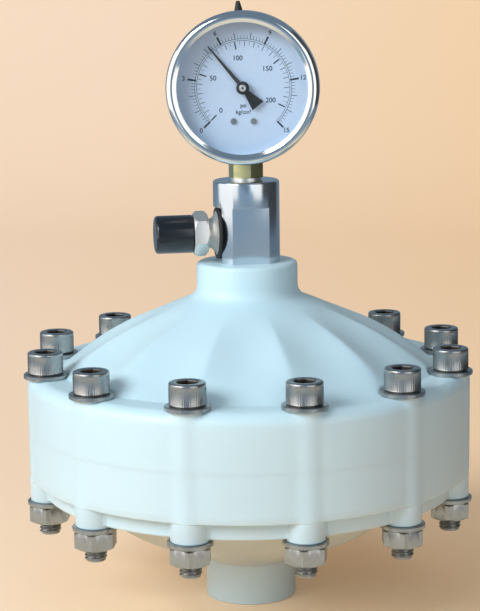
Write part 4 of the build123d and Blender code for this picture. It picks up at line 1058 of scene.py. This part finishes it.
class BuildDial(bpy.types.Operator):
    """Builds the dial with its two scales and figures, and the pointer over it."""

    bl_idname = "dampener.dial"
    bl_label = "Dial and pointer"

    def figures(self, name, words):
        """Flat figures at clock turns and radii of the dial, as one mesh."""
        height = bpy.context.scene.dampener_dial.figure_height
        joined = bmesh.new()
        for text, turn, radius, scale in words:
            curve = bpy.data.curves.new(name, "FONT")
            curve.body = text
            curve.size = height * scale
            curve.align_x = "CENTER"
            curve.align_y = "CENTER"
            curve.offset = height * scale * BOLDNESS
            curve.fill_mode = "FRONT"
            lettering = new_piece(name, curve)
            bpy.context.view_layer.update()
            depsgraph = bpy.context.evaluated_depsgraph_get()
            mesh = bpy.data.meshes.new_from_object(lettering.evaluated_get(depsgraph))
            spot = (radius * math.sin(turn), radius * math.cos(turn), FIGURE_LEVEL)
            mesh.transform(Matrix.Translation(spot))
            joined.from_mesh(mesh)
            bpy.data.objects.remove(lettering)
            bpy.data.meshes.remove(mesh)
        mesh = bpy.data.meshes.new(name)
        joined.to_mesh(mesh)
        joined.free()
        mesh.materials.append(finish("dial_ink"))
        mesh.transform(GAUGE_PLACE)
        settle(new_piece(name, mesh), "housing", slot="pointer_black")

    def strokes(self, name, steps, radius, length, width, sweep):
        """One row of strokes of a scale."""
        first = -bpy.context.scene.dampener_dial.sweep / 2
        piece = new_start(name)
        run_tree(
            piece, "dial_strokes", Steps=steps, Radius=radius, Length=length, Width=width,
            First_turn=first, Sweep=sweep, Level=STROKE_LEVEL, Material=finish("dial_ink"),
        )
        piece.data.transform(GAUGE_PLACE)
        settle(piece, "housing", slot="pointer_black")

    def execute(self, context):
        looks = context.scene.dampener_dial
        plate = section((1.7, 8.5), (30.4, 8.5), (30.4, 9.1), (1.7, 9.1), (1.7, 8.5))
        face = turned("dial_plate", plate, finish("dial_enamel"), GAUGE_PLACE, Segments=128)
        settle(face, "housing", "dial", slot="dial_white")
        start = -looks.sweep / 2
        line = looks.line_radius
        inner_sweep = looks.sweep * INNER_SHARE
        # Name, steps, distance from the scale's line, length and width in millimetres, sweep
        rows = (
            ("outer_fine", 75, 1.1, 1.6, 0.2, looks.sweep),
            ("outer_units", 15, 1.7, 2.9, 0.32, looks.sweep),
            ("outer_main", 5, 1.9, 3.9, 0.85, looks.sweep),
            ("inner_fine", 40, -1.6, 1.6, 0.18, inner_sweep),
            ("inner_tens", 20, -1.9, 2.3, 0.28, inner_sweep),
            ("inner_main", 4, -2.6, 3.2, 0.6, inner_sweep),
        )
        for name, steps, out, length, width, sweep in rows:
            self.strokes(name, steps, line + out * MM, length * MM, width * MM, sweep)
        # The scale's double line, as strokes that overlap a little
        steps = 200
        for name, out in (("line_outer", 0.35), ("line_inner", -0.45)):
            radius = line + out * MM
            width = radius * looks.sweep / (steps - 4)
            self.strokes(name, steps, radius, 0.2 * MM, width, looks.sweep)
        # Text, turn, distance from the dial's centre in millimetres, share of the figures' height
        outer = [("3", 1, 27.2), ("6", 2, 27.2), ("9", 3, 27.2), ("12", 4, 27.3), ("15", 5, 27.2)]
        outer.append(("0", 0, 27.2))
        words = [(text, start + looks.sweep * k / 5, far * MM, 0.8) for text, k, far in outer]
        self.figures("outer_figures", words)
        inner = [("0", 0, 14.4), ("50", 1, 14.2), ("100", 2, 13.4), ("150", 3, 13.8)]
        inner.append(("200", 4, 13.6))
        words = [(text, start + inner_sweep * k / 4, far * MM, 0.86) for text, k, far in inner]
        self.figures("inner_figures", words)
        units = [("psi", math.pi, 8 * MM, 0.72), ("kg/cm²", math.pi, 11 * MM, 0.72)]
        self.figures("unit_words", units)
        needle = dressed_copy("pointer", "needle", finish("pointer_black"), 0.00008)
        settle(needle, "pointer", "pointer", slot="pointer_black")
        boss = section((0, 12.3), (1.5, 12.3), (1.5, 12.75), (1.2, 13), (0, 13))
        stud = turned("pointer_stud", boss, finish("case_steel"), GAUGE_PLACE, Segments=32)
        settle(stud, "pointer", slot="case_steel")
        screws = dressed_copy("dial_screws", "dial_fasteners", finish("bright_fastener"), 0.0001)
        settle(screws, "housing", "dial_screws", slot="fastener_steel")
        return {"FINISHED"}


class FinishHiddenNodes(bpy.types.Operator):
    """Gives every CAD node that stays in sight or inside its own finish."""

    bl_idname = "dampener.hidden_nodes"
    bl_label = "Inner pieces"

    def execute(self, context):
        finishes = {
            "dark_rubber": ("diaphragm", "block_seal_ring", "cap_seal", "window_gasket"),
            "button_plastic": ("diaphragm_button",),
            "valve_steel": ("valve_pin", "valve_spring"),
            "seal_metal": ("seal_washer",),
            "bright_fastener": ("case_screws", "movement_screws"),
            "movement_brass": (
                "valve_core", "pinion_arbor", "sector_gear", "movement_link",
                "movement_back_plate", "movement_front_plate",
            ),
            "spring_bronze": ("bourdon_tube", "hairspring"),
        }
        for name, nodes in finishes.items():
            for node in nodes:
                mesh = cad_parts[node].data
                if not mesh.materials:
                    mesh.materials.append(finish(name))
                for i in range(len(mesh.materials)):
                    mesh.materials[i] = finish(name)
        return {"FINISHED"}


class BuildStage(bpy.types.Operator):
    """Builds the floor and backdrop, the lamps and the camera."""

    bl_idname = "dampener.stage"
    bl_label = "Stage"

    def lamp(self, name, place, aim, size, power, colour):
        """Large lamp, so wide and so high, that looks at a point."""
        data = bpy.data.lights.new(name, "AREA")
        data.shape = "RECTANGLE"
        data.size, data.size_y = size
        data.energy = power
        data.color = colour
        made = new_piece(name, data)
        made.location = place
        made.rotation_euler = (Vector(aim) - Vector(place)).to_track_quat("-Z", "Y").to_euler()

    def strip(self, name, verts, material):
        """A piece of the stage: one strip of faces between pairs of corners."""
        faces = [(i, i + 1, i + 3, i + 2) for i in range(0, len(verts) - 2, 2)]
        mesh = bpy.data.meshes.new(name)
        mesh.from_pydata(verts, [], faces)
        mesh.materials.append(material)
        made = new_piece(name, mesh)
        return made

    def bright_card(self, name, first, last, power):
        """Curved white card that only polished faces mirror, between two turns from the front."""
        verts = []
        steps = 12
        for i in range(steps + 1):
            turn = math.radians(first + (last - first) * i / steps)
            x, y = CARD_REACH * math.sin(turn), -CARD_REACH * math.cos(turn)
            verts += [(x, y, 0.002), (x, y, CARD_HEIGHT)]
        w = Finish(name, Emission_Color=(0.90, 0.97, 1.0, 1))
        glow = w.ramp(w.noise(8, 2), 0.0, 1.0, power * 0.9, power * 1.1)
        w.feed(glow, w.inputs["Emission Strength"])
        made = self.strip(name, verts, w.material)
        made.visible_camera = made.visible_diffuse = made.visible_shadow = False

    def dark_card(self):
        """Dark card beside the object, out of sight, that shades its right side."""
        verts = [(CARD_REACH, y, z) for y in (0.7, -0.6) for z in (0.001, 1.1)]
        w = Finish("card_cloth", Roughness=0.9)
        w.colour(w.noise(60, 2), (0.05, 0.06, 0.07), 0.8, 1.2)
        self.strip("dark_card", verts, w.material).visible_camera = False

    def sweep(self, looks):
        """Floor that curves up into a backdrop."""
        front, bend, radius, top, side = -4.0, 1.2, 0.8, 4.0, 5.0
        profile = [(front, 0.0), (bend, 0.0)]
        for i in range(1, 13):
            angle = math.radians(90 * i / 12)
            profile.append((bend + radius * math.sin(angle), radius - radius * math.cos(angle)))
        profile.append((bend + radius, top))
        verts = [(x, y, z) for y, z in profile for x in (-side, side)]
        w = Finish("backdrop_paper", Roughness=0.9, Specular_IOR_Level=0.1)
        w.inputs["Emission Color"].default_value = (1.0, 0.64, 0.36, 1)
        soft = w.noise(3, 2)
        rays = w.node("ShaderNodeLightPath").outputs
        reach = w.node("ShaderNodeVectorMath", {0: w.coordinates}, operation="LENGTH")
        far = w.ramp(reach.outputs["Value"], *NEAR_FLOOR)
        mirrored = w.mixed(far, looks.near_mirrored, looks.far_mirrored)
        bounced = w.mixed(far, looks.near_bounce, looks.far_bounce)
        thrown = w.mixed(rays["Is Glossy Ray"], bounced, mirrored)
        place = w.parts(w.coordinates)
        across = w.ramp(w.plus(place["X"], w.times(soft, 0.1)), -0.25, 0.3)
        # Painted shade: the paper turns deeper and more orange towards the right, the side away
        # from the key light.
        paper = w.mixed(across, looks.backdrop_left, looks.backdrop_right)
        seen = rays["Is Camera Ray"]
        w.feed(w.mixed(seen, thrown, paper), w.inputs["Base Color"])
        # Painted light: for the camera the paper also glows warm, more strongly towards the back.
        lift = w.ramp(place["Y"], 0.0, 1.5, 0.11, 0.20)
        w.feed(w.times(lift, seen), w.inputs["Emission Strength"])
        self.strip("backdrop", verts, w.material).data.shade_smooth()

    def execute(self, context):
        looks = context.scene.dampener_stage
        scene = context.scene
        scene.view_settings.view_transform = "Standard"
        self.sweep(looks)
        aim = (0, 0, 0.14)
        key, fill = looks.key_power, looks.fill_power
        self.lamp("key", (-1.75, -1.55, 1.5), aim, (1.7, 1.3), key, (1.0, 1.0, 1.0))
        self.lamp("fill", (0.6, -1.1, 0.5), aim, (0.42, 1.0), fill, (0.95, 0.98, 1.0))
        self.bright_card("bright_card_left", -105, -24, 0.95)
        self.bright_card("bright_card_right", 30, 60, 0.85)
        self.dark_card()
        world = bpy.data.worlds.new("studio")
        world.use_nodes = True
        w = Wiring(world.node_tree)
        background = world.node_tree.nodes["Background"]
        mirrored = w.node("ShaderNodeLightPath").outputs["Is Glossy Ray"]
        sky = w.mixed(mirrored, (0.93, 0.97, 1.0), (0.36, 0.52, 0.70))
        w.feed(sky, background.inputs["Color"])
        background.inputs["Strength"].default_value = looks.sky
        scene.world = world
        data = bpy.data.cameras.new("view")
        data.lens = looks.camera_pixels / PICTURE_HEIGHT * data.sensor_width
        camera = new_piece("view", data)
        turn = (
            Matrix.Rotation(looks.camera_yaw, 4, "Z")
            @ Matrix.Rotation(math.pi / 2 - looks.camera_pitch, 4, "X")
            @ Matrix.Rotation(looks.camera_roll, 4, "Z")
        )
        camera.matrix_world = Matrix.Translation(Vector(looks.camera_place)) @ turn
        scene.camera = camera
        return {"FINISHED"}


class DampenerPanel(bpy.types.Panel):
    """Lists the settings and the pieces in the sidebar."""

    bl_idname = "VIEW3D_PT_dampener"
    bl_label = "Pulsation dampener"
    bl_space_type = "VIEW_3D"
    bl_region_type = "UI"
    bl_category = "Dampener"

    def draw(self, context):
        for name in SETTINGS:
            box = self.layout.box()
            group = getattr(context.scene, name)
            for prop in group.bl_rna.properties:
                if prop.identifier not in ("rna_type", "name"):
                    box.prop(group, prop.identifier)
        for operator in OPERATORS:
            self.layout.operator(operator.bl_idname)


SETTINGS = {
    "dampener_housing": HousingSettings,
    "dampener_bolts": BoltSettings,
    "dampener_metals": MetalSettings,
    "dampener_dial": DialSettings,
    "dampener_stage": StageSettings,
}
OPERATORS = (
    BuildStage,
    BuildUpperHousing,
    BuildLowerHousing,
    BuildBolts,
    BuildBlock,
    BuildValve,
    BuildGaugeCase,
    BuildDial,
    FinishHiddenNodes,
)


def register():
    for cls in (*SETTINGS.values(), *OPERATORS, DampenerPanel):
        bpy.utils.register_class(cls)
    for name, cls in SETTINGS.items():
        setattr(bpy.types.Scene, name, PointerProperty(type=cls))


def unregister():
    for name in SETTINGS:
        delattr(bpy.types.Scene, name)
    for cls in reversed((*SETTINGS.values(), *OPERATORS, DampenerPanel)):
        bpy.utils.unregister_class(cls)


def main():
    register()
    for operator in OPERATORS:
        getattr(bpy.ops.dampener, operator.bl_idname.split(".")[1])()


if __name__ == "__main__":
    main()
